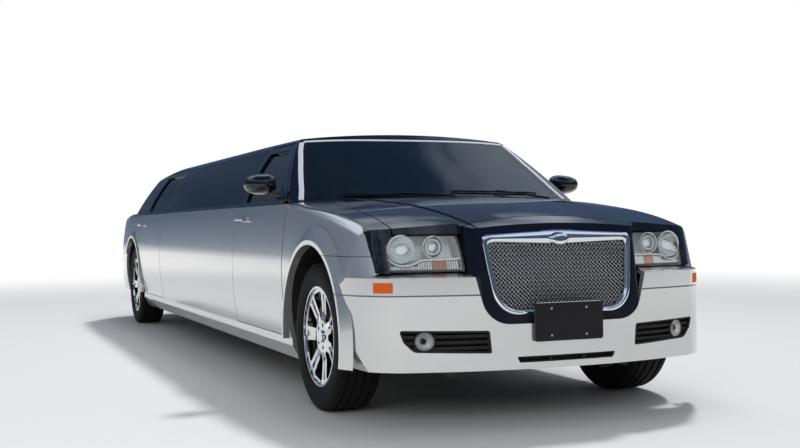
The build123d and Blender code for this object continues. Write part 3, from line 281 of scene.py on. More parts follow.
# %% Paint
def paint(name, above_line=black, below_line=silver, handle=False, crease=None, lean=0.0, last_y=9.0):
    """Lacquered paint in two colours or one, with a handle or painted shade along a crease if wanted."""
    made, tree, shader = new_material(name, below_line[0], 0.3, 0.0, Specular_IOR_Level=0.05,
                                      Coat_Weight=1.0, Coat_Roughness=0.03, Coat_IOR=1.5)
    flake = use_group(tree, grain_group, Scale=900.0, Detail=2.0)["Height"]
    dust = use_group(tree, dust_group, Top=0.75, Amount=0.10)["Mask"]
    normal = use_group(tree, ripple_group)["Normal"]
    colour, metal, rough = below_line
    if above_line != below_line:
        mask = use_group(tree, line_group)["Mask"]
        colour = blend(tree, mask, colour, above_line[0])
        metal = between(tree, mask, metal, above_line[1])
        rough = between(tree, mask, rough, above_line[2])
    rough = maths(tree, "ADD", maths(tree, "MULTIPLY", flake, 0.08), rough)
    if handle:
        colour, metal, rough = with_handle(tree, colour, metal, rough)
    if crease:
        colour, metal, normal = with_crease(tree, colour, metal, normal, crease, lean, last_y)
    rough = maths(tree, "ADD", rough, maths(tree, "MULTIPLY", dust, 0.5))
    feed(tree, shader, Base_Color=blend(tree, dust, colour, dust_colour), Metallic=metal, Roughness=rough,
         Normal=normal)
    return made


finishes = {
    "black_paint": paint("black_paint", below_line=black),
    "silver_paint": paint("silver_paint", above_line=silver),
    "two_colour_paint": paint("two_colour_paint"),
    "door_paint": paint("door_paint", handle=True),
    # The bumper's groove and the front wing's crease get painted shade along them
    "bumper_paint": paint("bumper_paint", crease=0.586, lean=0.022),
    "front_wing_paint": paint("front_wing_paint", crease=0.7567, last_y=front_axle),
}
print("paints:", ", ".join(finishes))

# %% [markdown]
# Other finishes are simpler. Metals differ in roughness, plastics and rubber get grain as a bump, and what
# is near the road also gets dust. Glass is a tinted solid with plain transmission, so its tint is its base
# colour.

# %% Metals, plastics, rubber and glass
def plain_finish(name, colour, roughness, metallic=0.0, grain=400.0, depth=0.0002, dust=0.2, **sockets):
    """A material with grain as a bump, slight uneven gloss and, if wanted, dust near the road."""
    made, tree, shader = new_material(name, colour, roughness, metallic, **sockets)
    height = use_group(tree, grain_group, Scale=grain)["Height"]
    uneven = maths(tree, "MULTIPLY", maths(tree, "SUBTRACT", height, 0.5), roughness * 0.5)
    rough = maths(tree, "ADD", uneven, roughness)
    if dust:
        mask = use_group(tree, dust_group, Top=0.7, Amount=dust)["Mask"]
        rough = maths(tree, "ADD", rough, maths(tree, "MULTIPLY", mask, 0.5))
        feed(tree, shader, Base_Color=blend(tree, mask, colour, dust_colour))
    bump = add_node(tree, "Bump", Strength=1.0, Distance=depth, Height=height)
    feed(tree, shader, Roughness=rough, Normal=bump.outputs["Normal"])
    return made


def glass_finish(name, tint, **sockets):
    """Solid glass or clear plastic with its tint as the base colour."""
    made, tree, shader = new_material(name, tint, 0.0, 0.0, Transmission_Weight=1.0, IOR=1.45, **sockets)
    streak = use_group(tree, grain_group, Scale=6.0)["Height"]
    feed(tree, shader, Roughness=maths(tree, "MULTIPLY", streak, 0.03))
    return made


print("finish helpers ready")

# %% [markdown]
# One table holds every finish but the paints. After the colour come roughness, metallic, the grain's scale
# and its depth in metres, and dust. A finish that is never near the road has no dust, so its colour is one
# plain value on the shader.

# %% Table of finishes
finishes.update({
    "chrome": plain_finish("chrome", chrome_colour, 0.05, 1.0, 60.0, 0.00003, 0.08),
    "mesh_wire": plain_finish("bright_mesh_wire", (0.55, 0.55, 0.56), 0.22, 0.85, 200.0, 0.00005, 0.1),
    "bright_trim": plain_finish("bright_trim", (0.86, 0.86, 0.87), 0.25, 0.45, 200.0, 0.00005, 0.05),
    "satin_metal": plain_finish("satin_metal", (0.55, 0.55, 0.56), 0.28, 1.0, 300.0, 0.00005, 0.1),
    "steel": plain_finish("cast_steel", (0.055, 0.055, 0.06), 0.55, 0.7, 160.0, 0.0006, 0.5),
    "stainless": plain_finish("stainless_pipe", (0.42, 0.41, 0.40), 0.3, 1.0, 200.0, 0.0001, 0.5),
    "grained": plain_finish("grained_black_plastic", (0.010, 0.010, 0.011), 0.55, 0.0, 700.0, 0.0002, 0.10,
                            Specular_IOR_Level=0.2),
    "gloss_plastic": plain_finish("gloss_black_plastic", (0.006, 0.006, 0.007), 0.15, 0.0, 30.0, 0.00002,
                                  0.15),
    "underbody": plain_finish("underbody_coating", (0.02, 0.02, 0.02), 0.8, 0.0, 120.0, 0.001, 0.6),
    "rubber": plain_finish("tyre_rubber", (0.005, 0.005, 0.005), 0.6, 0.0, 260.0, 0.0003, 0.04,
                           Specular_IOR_Level=0.12),
    "cabin": plain_finish("cabin_plastic", (0.03, 0.03, 0.032), 0.6, 0.0, 500.0, 0.0003, 0.0),
    "carpet": plain_finish("cabin_carpet", (0.02, 0.02, 0.021), 0.95, 0.0, 900.0, 0.002, 0.0),
    "leather": plain_finish("seat_leather", (0.035, 0.03, 0.027), 0.45, 0.0, 220.0, 0.0006, 0.0),
    "amber": plain_finish("amber_lens", (0.66, 0.10, 0.002), 0.2, 0.0, 200.0, 0.0002, 0.0,
                          Specular_IOR_Level=0.3),
    "lamp_amber": plain_finish("lamp_amber_flutes", (0.62, 0.30, 0.20), 0.2, 0.6, 40.0, 0.00005, 0.0),
    "reflector": plain_finish("lamp_reflector", (0.62, 0.66, 0.67), 0.10, 0.9, 40.0, 0.00005, 0.0),
    "bezel": plain_finish("lamp_bezel", (0.74, 0.78, 0.79), 0.3, 0.35, 40.0, 0.00005, 0.0),
    "white_lens": plain_finish("white_lens", (0.72, 0.73, 0.74), 0.15, 0.1, 200.0, 0.0002, 0.0,
                               Coat_Weight=1.0),
    "plate_edge": plain_finish("plate_edge", (0.55, 0.55, 0.55), 0.4, 0.2, 200.0, 0.0001, 0.0),
    "mirror_glass": plain_finish("mirror_glass", (0.75, 0.77, 0.78), 0.02, 1.0, 10.0, 0.00001, 0.0),
    "red": plain_finish("red_lens", (0.35, 0.006, 0.008), 0.12, 0.0, 200.0, 0.0002, 0.0, Coat_Weight=1.0),
    "plate_black": plain_finish("plate_black", (0.006, 0.006, 0.007), 0.4, 0.0, 300.0, 0.0001, 0.05,
                                Specular_IOR_Level=0.25),
    "screen_glass": glass_finish("windscreen_glass", (0.07, 0.12, 0.16)),
    "dark_glass": glass_finish("privacy_glass", (0.006, 0.008, 0.010), Specular_IOR_Level=0.2),
    "door_glass": glass_finish("front_door_glass", (0.06, 0.07, 0.075), Specular_IOR_Level=0.25),
    "clear": glass_finish("lamp_cover_plastic", (0.97, 0.98, 0.99)),
})
print(len(finishes), "finishes")

# %% [markdown]
# Each solid now gets its finish. A table by node name shows at a glance what the car is made of.

# %% Give each solid its finish
node_finish = {
    "roof_frame": "black_paint", "hood": "black_paint", "grille_surround": "black_paint",
    "front_fenders": "front_wing_paint", "quarter_panels": "two_colour_paint",
    "trunk_lid": "two_colour_paint", "stretch_panels": "silver_paint", "sills": "silver_paint",
    "front_bumper": "bumper_paint", "rear_bumper": "bumper_paint", "grille_frame": "chrome",
    "grille_mesh": "chrome", "headlamp_bodies": "satin_metal", "headlamp_covers": "clear",
    "bumper_grilles": "grained", "bumper_lamps": "amber", "front_plate": "plate_black",
    "windscreen": "screen_glass", "rear_window": "dark_glass", "stretch_windows": "dark_glass",
    "tail_lamps": "red", "front_suspension": "steel", "rear_axle": "steel", "hinges": "steel",
    "engine": "steel", "dashboard": "cabin", "seats": "leather", "exhaust": "stainless",
    "cowl": "grained", "wheel_liners": "grained", "floor_pan": "underbody",
}
for side in ("left", "right"):
    node_finish["front_door_" + side] = "door_paint"
    node_finish["rear_door_" + side] = "door_paint"
    node_finish["front_door_glass_" + side] = "door_glass"
    node_finish["rear_door_glass_" + side] = "dark_glass"
    node_finish["mirror_" + side] = "black_paint"
    node_finish["knuckle_" + side] = "steel"
    for end in ("front", "rear"):
        node_finish[f"tyre_{end}_{side}"] = "rubber"
        node_finish[f"rim_{end}_{side}"] = "chrome"
for name, node in nodes.items():
    node.data.materials.clear()
    node.data.materials.append(finishes[node_finish[name]])
print("finished nodes:", len(nodes))

# %% [markdown]
# The rest of the car is mesh code. A shape here is just two lists: points, and faces that name points by
# number. The first helpers lay a skin over rows of points, join and move shapes, and mirror a shape for the
# car's other side.

# %% Helpers for shapes
def skin(rows, close_rows=False, close_ring=True, caps=False):
    """Faces between neighbouring rows of points; the ends can be joined up or capped."""
    count, size = len(rows), len(rows[0])
    faces = []
    for i in range(count if close_rows else count - 1):
        here, beyond = i * size, (i + 1) % count * size
        for j in range(size if close_ring else size - 1):
            beside = (j + 1) % size
            faces.append((here + j, here + beside, beyond + beside, beyond + j))
    if caps:
        faces += [tuple(range(size))[::-1], tuple((count - 1) * size + j for j in range(size))]
    return [Vector(p) for row in rows for p in row], faces


def joined(*shapes):
    """Several shapes as one."""
    points, faces = [], []
    for more_points, more_faces in shapes:
        faces += [tuple(i + len(points) for i in face) for face in more_faces]
        points += more_points
    return points, faces


def moved(shape, matrix):
    """The shape turned, scaled or shifted by a matrix."""
    return [matrix @ p for p in shape[0]], shape[1]


def at(x, y, z):
    """A matrix that shifts to a place."""
    return Matrix.Translation((x, y, z))


def other_side(shape):
    """The shape's twin on the car's right."""
    return [Vector((-p.x, p.y, p.z)) for p in shape[0]], [face[::-1] for face in shape[1]]


both_sides = (("left", lambda shape: shape), ("right", other_side))
print("shape helpers ready for", len(both_sides), "sides")

# %% [markdown]
# A car is full of round forms. Lug nuts and screws are turned profiles, wires and trim are tubes along a
# path, and pads and mirrors are rings pushed out towards a box. All of them take even steps round a circle.

# %% Helpers for round forms
def round_steps(count):
    """Cosine and sine of that many even steps round a circle."""
    return [(cos(2 * pi * k / count), sin(2 * pi * k / count)) for k in range(count)]


def box_reach(c, s, power):
    """How far out a ring lies if it is pushed towards a box's corners; a higher power is squarer."""
    return (abs(c) ** power + abs(s) ** power) ** (-1 / power)


def turned(profile, steps=48):
    """A profile of (place along X, radius) turned round the X axis."""
    rows = [[(x, r * c, r * s) for x, r in profile] for c, s in round_steps(steps)]
    return skin(rows, close_rows=True, close_ring=False)


def tube(path, radius, sides=8, closed=False):
    """A round tube along a path of points; the radius may be one number or one for each point."""
    path = [Vector(p) for p in path]
    rows, normal = [], None
    for i, point in enumerate(path):
        before = path[i - 1] if closed or i else point
        after = path[(i + 1) % len(path)] if closed or i < len(path) - 1 else point
        tangent = (after - before).normalized()
        if normal is None:
            normal = tangent.orthogonal().normalized()
        normal = (normal - tangent * normal.dot(tangent)).normalized()
        side = tangent.cross(normal)
        wide = radius[i] if isinstance(radius, (list, tuple)) else radius
        rows.append([point + (normal * c + side * s) * wide for c, s in round_steps(sides)])
    return skin(rows, close_rows=closed, caps=not closed)


print("round forms ready")

# %% [markdown]
# Plates, lamps, linings and covers start from a flat outline. Each corner becomes an arc, turned in small
# steps about its own centre. An outline can be sized about a middle, so that rows of it make a soft edge,
# and a place function then lays it on a curved face of the car.

# %% Helpers for flat outlines
def round_corners(corners, steps=6):
    """Points of a flat outline from corners of (first, second, corner radius)."""
    points = []
    for i, (u, v, r) in enumerate(corners):
        here = Vector((u, v))
        back = (Vector(corners[i - 1][:2]) - here).normalized()
        onward = (Vector(corners[(i + 1) % len(corners)][:2]) - here).normalized()
        half = back.angle(onward) / 2
        if r == 0:
            points.append(here)
            continue
        centre = here + (back + onward).normalized() * (r / sin(half))
        start, end = here + back * (r / tan(half)), here + onward * (r / tan(half))
        first, last = start - centre, end - centre
        for k in range(steps + 1):
            turn = first.angle_signed(last) * k / steps if first.length else 0
            points.append(centre + Matrix.Rotation(-turn, 2) @ first)
    return points


def rounded_box(u0, v0, u1, v1, r, steps=4):
    """A flat box between two corners, all four corners rounded alike."""
    return round_corners([(u0, v0, r), (u1, v0, r), (u1, v1, r), (u0, v1, r)], steps)


def sized(points, middle, wide, high=None):
    """A flat outline made larger or smaller about a middle; high is for its second direction."""
    u, v = middle
    return [(u + (p[0] - u) * wide, v + (p[1] - v) * (wide if high is None else high)) for p in points]


def plate_of(points, place, near, far):
    """A flat outline given thickness: place(u, v, depth) says where each of its points goes."""
    rows = [[place(p[0], p[1], depth) for p in points] for depth in (near, far)]
    return skin(rows, caps=True)


print("outline helpers ready")

# %% [markdown]
# The last helpers turn a shape into an object. Its faces are made to look outwards, edges sharper than an
# angle stay sharp, and the piece gets its finish and the body that it rides on. Most trim comes
# in pairs, so one more function builds a piece on the left and its twin on the right.

# %% From shapes to pieces
def build(name, shape, body, finish, smooth=35, bevel=0.0):
    """An object from a shape, with its finish, riding on a body of the frame."""
    mesh = bpy.data.meshes.new(name)
    mesh.from_pydata(shape[0], [], shape[1])
    working = bmesh.new()
    working.from_mesh(mesh)
    bmesh.ops.recalc_face_normals(working, faces=working.faces)
    working.to_mesh(mesh)
    working.free()
    mesh.shade_smooth()
    mesh.set_sharp_from_angle(angle=radians(smooth))
    made = bpy.data.objects.new(name, mesh)
    scene.collection.objects.link(made)
    made.data.materials.append(finishes[finish])
    if bevel:
        rounding = made.modifiers.new("rounding", "BEVEL")
        rounding.width = bevel
        rounding.segments = 2
    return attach(made, body)


def build_pair(name, shape, body, finish, smooth):
    """A left piece and its twin. A body whose name ends in _ is one of two, so it gets the side's name."""
    return [build(f"{name}_{side}", turn(shape), body + side if body.endswith("_") else body, finish, smooth) for side, turn in both_sides]


print("piece helpers ready")

# %% [markdown]
# A road tyre is a turned profile whose tread isn't smooth: four grooves run round it, and its shoulders
# are cut across into blocks. Turning the profile in many steps, and sinking the points that fall in a cut,
# gives real blocks that catch light. The solid tyre is then hidden and stands only for contact.

# %% Tyres
bead_radius = 0.2435
groove_places = (-0.062, -0.022, 0.022, 0.062)
groove_half = 0.0042
groove_deep = 0.0075
block_count = 84
steps_per_block = 6
cut_deep = 0.005


def tyre_profile():
    """(place across, radius, is it on the shoulder blocks) from one bead over the tread to the other."""
    points = [(-0.098, bead_radius, 0), (-0.104, bead_radius + 0.006, 0), (-0.1065, 0.262, 0),
              (-0.1122, 0.284, 0), (-0.1125, 0.300, 0), (-0.1118, 0.318, 0), (-0.1090, 0.334, 0),
              (-0.1030, 0.347, 0), (-0.0965, 0.3535, 1), (-0.088, 0.3572, 1), (-0.078, 0.3588, 1),
              (-0.070, 0.3594, 1)]
    for place in groove_places:
        crown = 0.3600 - 0.12 * place * place
        points += [(place - groove_half - 0.0012, crown, 0), (place - groove_half, crown - groove_deep, 0),
                   (place + groove_half, crown - groove_deep, 0), (place + groove_half + 0.0012, crown, 0)]
    return points + [(-x, r, s) for x, r, s in points[11::-1]]


rows = []
steps = block_count * steps_per_block
for i in range(steps):
    turn = 2 * pi * i / steps
    in_cut = i % steps_per_block == 0
    rows.append([(x, (r - cut_deep * s * in_cut) * cos(turn), (r - cut_deep * s * in_cut) * sin(turn))
                 for x, r, s in tyre_profile()])
tyre_shape = skin(rows, close_rows=True, close_ring=False)
wheels = []
for end, y in (("front", front_axle), ("rear", rear_axle)):
    for side, sign in (("left", 1), ("right", -1)):
        place = at(sign * half_track, y, tyre_radius)
        body = f"wheel_{end}_{side}"
        shape = moved(tyre_shape, place)
        tyre = build(f"tread_{end}_{side}", shape, body, "rubber", 40)
        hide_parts(f"tyre_{end}_{side}")
        wheels.append((side, sign, place, body, end))
print("tyre:", len(tyre_shape[1]), "faces,", block_count, "blocks round each shoulder")

# %% [markdown]
# The wheel's bright face is in the solids. What it lacks is small: five lug nuts deep in their holes, and
# a rubber valve. A nut is a profile turned in six steps and the valve is a short tube.

# %% Lug nuts and valves
lug_circle = 0.057
lug_count = 5
nut_face = 0.069
nut_profile = [(nut_face - 0.016, 0.0), (nut_face - 0.016, 0.0092), (nut_face, 0.0088),
               (nut_face + 0.002, 0.006), (nut_face + 0.002, 0.0)]
valve_radius = 0.219
for side, sign, place, body, end in wheels:
    nuts = []
    for i in range(lug_count):
        turn = 2 * pi * i / lug_count + pi / 2
        nuts.append(moved(turned(nut_profile, 6), at(0, lug_circle * cos(turn), lug_circle * sin(turn))))
    valve = moved(tube([(0.062, 0, 0), (0.078, 0, -0.002), (0.092, 0, -0.004)], [0.004, 0.0035, 0.003]),
                  at(0, 0, -valve_radius))
    facing = Matrix.Scale(sign, 4, (1, 0, 0))
    build(f"lug_nuts_{end}_{side}", moved(joined(*nuts), place @ facing), body, "chrome", 30)
    build(f"valve_{end}_{side}", moved(valve, place @ facing), body, "rubber", 30)
print("lug nuts:", lug_count * len(wheels))

# %% [markdown]
# The grille is woven wire: two families of wires cross at right angles, each passing over one and under
# the next. A wire is a tube along a wavy line, and it is kept only where its points lie inside the bright
# ring. The mesh leans back with the ring, so every point is moved back as it rises.

# %% Woven grille
grille_foot_y = front_axle - 0.820
grille_foot_z = 0.492
grille_lean = 0.173
mesh_corners = [(-0.357, 0.814, 0.016), (0, 0.800, 0.9), (0.357, 0.814, 0.016), (0.340, 0.690, 0.5),
                (0.312, 0.516, 0.1), (-0.312, 0.516, 0.1), (-0.340, 0.690, 0.5)]
wire_pitch = 0.0142
wire_radius = 0.0014
wave_height = 0.0020
wire_depth = 0.018
mesh_middle_z = 0.66


def grille_place(x, z, depth=0.0):
    """A point of the grille's leaning face, or that much behind it."""
    return Vector((x, grille_foot_y + (z - grille_foot_z) * grille_lean + depth, z))


mesh_outline = round_corners(mesh_corners, 5)


def inside(x, z, loop):
    """Whether a point lies within a flat outline."""
    crossed = False
    for i, (x1, z1) in enumerate(loop):
        x0, z0 = loop[i - 1]
        if (z0 > z) != (z1 > z) and x < (x1 - x0) * (z - z0) / (z1 - z0) + x0:
            crossed = not crossed
    return crossed


wires = []
reach = 0.60
wire_count = int(2 * reach / wire_pitch)
for family in (1, -1):
    for i in range(wire_count):
        offset = -reach + i * wire_pitch
        run = []
        for k in range(2 * wire_count):
            along = -reach + k * wire_pitch / 2
            x = (along - family * offset) / sqrt(2)
            z = mesh_middle_z + (along * family + offset) / sqrt(2)
            if inside(x, z, mesh_outline):
                lift = wave_height * cos(pi * (k / 2 + i)) * family if k % 2 == 0 else 0.0
                run.append(grille_place(x, z, wire_depth + lift))
            elif run:
                if len(run) > 2:
                    wires.append(tube(run, wire_radius, 6))
                run = []
        if len(run) > 2:
            wires.append(tube(run, wire_radius, 6))
woven = build("woven_grille", joined(*wires), "body", "mesh_wire", 60)
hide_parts("grille_mesh")
print("woven grille:", len(wires), "wires")

# %% [markdown]
# A dark radiator core stands behind the wires, so nothing bright shows through them. A sheet with fine
# folds is enough, because one only sees it through the mesh.

# %% Radiator core
core_y = grille_foot_y + 0.120
core_half, core_low, core_high = 0.385, 0.470, 0.860
fin_count = 60
fin_deep = 0.003
core_rows = []
for k in range(fin_count + 1):
    x, y = core_half * (2 * k / fin_count - 1), core_y + (fin_deep if k % 2 else 0.0)
    core_rows.append([(x, y, core_low), (x, y, core_high)])
build("radiator_core", skin(core_rows, close_ring=False), "body", "grained", 20)
print("radiator core with", fin_count, "folds")

# %% [markdown]
# The ring round it is one bright moulding with a rounded face. It is a skin over loops that run round the
# opening: the outer edge, three loops that stand proud, and the inner edge. Both outlines are resampled to
# the same number of points, so the loops match.

# %% Bright ring
ring_corners = [(-0.387, 0.850, 0.022), (0, 0.868, 0.9), (0.387, 0.850, 0.022), (0.368, 0.690, 0.5),
                (0.338, 0.492, 0.12), (-0.338, 0.492, 0.12), (-0.368, 0.690, 0.5)]
ring_points = 160


def resampled(points, count):
    """The same closed outline with points at even angles, starting straight above its middle."""
    loop = [Vector(p) for p in points]
    middle = sum(loop, Vector((0, 0))) / len(loop)
    fresh = []
    for k in range(count):
        turn = 2 * pi * k / count
        ray = Vector((sin(turn), cos(turn)))
        best = None
        for i, b in enumerate(loop):
            a = loop[i - 1]
            edge_step = b - a
            cross = ray.x * edge_step.y - ray.y * edge_step.x
            if abs(cross) < 1e-12:
                continue
            gap = a - middle
            far_out = (gap.x * edge_step.y - gap.y * edge_step.x) / cross
            share = (gap.x * ray.y - gap.y * ray.x) / cross
            if far_out > 0 and -1e-9 <= share <= 1 + 1e-9 and (best is None or far_out > best):
                best = far_out
        fresh.append(middle + ray * best)
    return fresh


outer = resampled(round_corners(ring_corners, 8), ring_points)
inner = resampled(round_corners(mesh_corners, 8), ring_points)
# How far in towards the opening each loop lies, and how deep
ring_section = ((0.0, 0.036), (0.0, 0.006), (0.12, 0.001), (0.5, -0.003), (0.88, 0.002), (1.0, 0.010),
                (1.0, 0.036))
loops = []
for share, depth in ring_section:
    loops.append([grille_place(*(a.lerp(b, share)), depth) for a, b in zip(outer, inner)])
ring = build("grille_ring", skin(loops, close_rows=True), "body", "chrome", 50)
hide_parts("grille_frame")
print("ring loops:", len(loops), "of", ring_points, "points")

# %% [markdown]
# A plain oval boss sits in the middle of the ring's upper side. It is a skin over ovals that shrink as they
# stand out, so its face is softly domed.

# %% Plain boss
boss_wide, boss_high, boss_z = 0.050, 0.029, 0.826
boss_section = ((1.0, 0.014), (1.0, -0.006), (0.86, -0.013), (0.6, -0.016), (0.3, -0.0172), (0.0, -0.0175))
boss_rows = []
for share, depth in boss_section:
    boss_rows.append([grille_place(boss_wide * share * c, boss_z + boss_high * share * s, depth)
                      for c, s in round_steps(40)])
build("grille_boss", skin(boss_rows), "body", "chrome", 40)
print("boss:", 2 * boss_wide, "by", 2 * boss_high, "m")

# %% [markdown]
# A headlamp is a deep box with a clear cover. Behind the cover are a big dished reflector at the outer
# end, a smaller projector with a domed lens and a ring at the inner end, and a low strip of upright
# flutes with an amber reflector in it. All of them follow the curved, leaning face of the lamp, so one
# function gives the depth of that face at any place, and each piece is set back from it.

# %% The headlamp's face
lamp_base_z = 0.690
lamp_lean = 0.325
lamp_plan_points = ((0.0, -0.745), (0.447, -0.714), (0.770, -0.626))
lamp_outline = [(0.447, 0.688, 0.010), (0.768, 0.686, 0.014), (0.777, 0.800, 0.020), (0.742, 0.848, 0.030),
                (0.462, 0.848, 0.014), (0.449, 0.760, 0.060)]


def circle_through(a, b, c):
    """Centre and radius of the circle through three flat points."""
    d = 2 * (a[0] * (b[1] - c[1]) + b[0] * (c[1] - a[1]) + c[0] * (a[1] - b[1]))
    sq = [p[0] ** 2 + p[1] ** 2 for p in (a, b, c)]
    u = (sq[0] * (b[1] - c[1]) + sq[1] * (c[1] - a[1]) + sq[2] * (a[1] - b[1])) / d
    v = (sq[0] * (c[0] - b[0]) + sq[1] * (a[0] - c[0]) + sq[2] * (b[0] - a[0])) / d
    return u, v, hypot(a[0] - u, a[1] - v)


lamp_circle = circle_through(*lamp_plan_points)


def lamp_place(x, z, depth=0.0):
    """A point of the left headlamp's outer face, or that much behind it."""
    u, v, r = lamp_circle
    y = v - sqrt(r * r - (x - u) ** 2)
    return Vector((x, front_axle + y + (z - lamp_base_z) * lamp_lean + depth, z))


print("lamp face radius:", round(lamp_circle[2], 3))

# %% [markdown]
# A bowl is a skin over rings that sink as they shrink. In the big bowl every second ring is set back a
# hair, which gives it fine steps. A hoop is a tube bent round, and the projector's lens is a dome of rings
# along a quarter circle.

# %% Headlamp bowls and rings
def bowl(x, z, radius, front, deep, rings, ribs=0.0):
    """A dished reflector that opens forwards at a place of the lamp, with fine ribs if wanted."""
    rows = []
    for i in range(rings + 1):
        share = 1 - i / rings
        sink = front + deep * (1 - share * share) + ribs * (i % 2)
        rows.append([lamp_place(x, z) + Vector((radius * share * c, sink, radius * share * s))
                     for c, s in round_steps(40)])
    return skin(rows)


def hoop(x, z, radius, depth, wide):
    """A closed ring of round section that stands upright in the lamp."""
    middle = lamp_place(x, z, depth)
    return tube([middle + Vector((radius * c, 0, radius * s)) for c, s in round_steps(48)], wide, 6, True)


main_lamp = (0.706, 0.788)
projector = (0.566, 0.795)
big = bowl(*main_lamp, 0.060, 0.016, 0.050, 12, 0.0012)
small = bowl(*projector, 0.048, 0.018, 0.040, 8)
hoops = joined(hoop(*main_lamp, 0.061, 0.015, 0.0028), hoop(*projector, 0.049, 0.017, 0.0024),
               hoop(*projector, 0.032, 0.022, 0.0040))
dome_radius, dome_deep, dome_steps = 0.028, 0.026, 6
dome = []
for i in range(1, dome_steps + 1):
    turn = pi / 2 * i / dome_steps
    middle = lamp_place(*projector, 0.045 - dome_deep * cos(turn))
    dome.append([middle + Vector((dome_radius * sin(turn) * c, 0, dome_radius * sin(turn) * s))
                 for c, s in round_steps(32)])
print("main lamp at", main_lamp, "projector at", projector)

# %% [markdown]
# Under the bowls a shelf line sweeps round the big one, and the flutes below it are upright round rods.
# Those in the middle are amber, for the turn signal. All of it lies in an open tray, the lamp's housing.

# %% Headlamp flutes, shelf and housing
def lamp_bar(points, width, front, deep):
    """A bar along a run of (x, z) points of the lamp's face, width high and deep."""
    rows = []
    for x, z in points:
        rows.append([lamp_place(x, z + width / 2, front), lamp_place(x, z + width / 2, deep),
                     lamp_place(x, z - width / 2, deep), lamp_place(x, z - width / 2, front)])
    return skin(rows, caps=True)


tray_gap = 0.006
shrunk = [(x + (tray_gap if x < 0.6 else -tray_gap), z + (tray_gap if z < 0.77 else -tray_gap), r)
          for x, z, r in lamp_outline]
edge = round_corners(shrunk, 4)
wall_rows = [[lamp_place(p[0], p[1], depth) for p in edge] for depth in (0.008, 0.10)]
tray = joined(skin(wall_rows), (wall_rows[-1], [tuple(range(len(edge)))]))
shelf_line = [(0.455, 0.743), (0.520, 0.741), (0.600, 0.739), (0.632, 0.736), (0.655, 0.724), (0.680, 0.716),
              (0.706, 0.713), (0.732, 0.718), (0.752, 0.730), (0.766, 0.748)]
shelf = lamp_bar(shelf_line, 0.006, 0.008, 0.075)
first_flute, flute_pitch, flute_count = 0.468, 0.0105, 28
amber_from, amber_to = 0.510, 0.582
amber_flutes, clear_flutes = [], []
for k in range(flute_count):
    x = first_flute + k * flute_pitch
    top = 0.735 if x < 0.64 else 0.710
    flute = tube([lamp_place(x, z, 0.024) for z in (0.696, top)], 0.0047, 8)
    (amber_flutes if amber_from < x < amber_to else clear_flutes).append(flute)
housing = build_pair("lamp_housing", tray, "body", "bezel", 30)[0]
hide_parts("headlamp_bodies")
build_pair("main_reflector", joined(big, small), "body", "reflector", 30)
build_pair("lamp_rings", joined(hoops, shelf), "body", "bezel", 40)
build_pair("projector_lens", skin(dome), "body", "clear", 60)
build_pair("lamp_flutes", joined(*clear_flutes), "body", "reflector", 40)
build_pair("amber_flutes", joined(*amber_flutes), "body", "lamp_amber", 40)
print("headlamps:", len(clear_flutes), "clear and", len(amber_flutes), "amber flutes each")

# %% [markdown]
# The fog lamp is a round glass in the bumper's slatted insert: a bowl, a bulb shield and a slightly
# domed lens. The bumper's face is two arcs in plan, and each ring of points follows them.

# %% Fog lamps
bumper_plan_points = ((0.0, -0.835), (0.400, -0.805), (0.759, -0.705))
corner_plan_points = ((0.759, -0.705), (0.870, -0.603), (0.932, -0.420))
bumper_circle = circle_through(*bumper_plan_points)
corner_circle = circle_through(*corner_plan_points)


def bumper_y(x):
    """Where the bumper's face is at that half width."""
    u, v, r = bumper_circle if x < bumper_plan_points[2][0] else corner_circle
    return front_axle + v - sqrt(r * r - (x - u) ** 2)


fog_x, fog_z, fog_radius = 0.652, 0.388, 0.042


def fog_ring(radius, depth):
    """A ring of points round the fog lamp's middle, on the bumper's slant."""
    ring_here = []
    for c, s in round_steps(36):
        x = fog_x + radius * c
        ring_here.append(Vector((x, bumper_y(x) + depth, fog_z + radius * s)))
    return ring_here


lens_rows = []
for i in range(1, 6):
    turn = pi / 2 * i / 5
    lens_rows.append(fog_ring(fog_radius * sin(turn), 0.014 - 0.008 * cos(turn)))
# Share of the radius and depth of the bowl's rings, then radius and depth of the bulb shield's
bowl_section = ((1.0, 0.015), (0.94, 0.022), (0.8, 0.030), (0.6, 0.036), (0.35, 0.040), (0.02, 0.041))
shield_section = ((0.012, 0.034), (0.012, 0.026), (0.009, 0.021), (0.001, 0.019))
fog_bowl = skin([fog_ring(fog_radius * share, depth) for share, depth in bowl_section])
fog_shield = skin([fog_ring(radius, depth) for radius, depth in shield_section])
fog_rim = tube(fog_ring(fog_radius + 0.001, 0.011), 0.0035, 8, True)
lens = build_pair("fog_lens", skin(lens_rows), "body", "clear", 60)[0]
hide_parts("bumper_lamps")
build_pair("fog_bowl", fog_bowl, "body", "bezel", 40)
build_pair("fog_rim", joined(fog_rim, fog_shield), "body", "grained", 40)
print("fog lamps at", fog_x, "radius", fog_radius)

# %% [markdown]
# The marker on the corner is an amber lens with upright ribs that wraps round the bumper. It is a skin over
# upright sections, and every second one stands a little prouder, which makes the ribs.

# %% Side markers
marker_low, marker_high = 0.600, 0.644
marker_start, marker_long, marker_steps = -0.690, 0.060, 24
marker_rows = []
for i in range(marker_steps + 1):
    y = front_axle + marker_start + marker_long * i / marker_steps
    near, far = 0.70, 0.925
    # Halve the range again and again to find the half width at which the bumper's face is at this y
    for _ in range(40):
        half = (near + far) / 2
        near, far = (half, far) if bumper_y(half) < y else (near, half)
    proud = 0.0004 + 0.0010 * (i % 2)
    marker_rows.append([(near - 0.006, y, marker_low), (near + proud, y - proud, marker_low),
                        (near + proud, y - proud, marker_high), (near - 0.006, y, marker_high)])
build_pair("side_marker", skin(marker_rows, caps=True), "body", "amber", 25)
print("side markers with", marker_steps // 2, "ribs")

# %% [markdown]
# The number plate in front is a blank, flat panel with a raised rim, rounded corners and four screws. The
# plate behind is the same, in its recess.

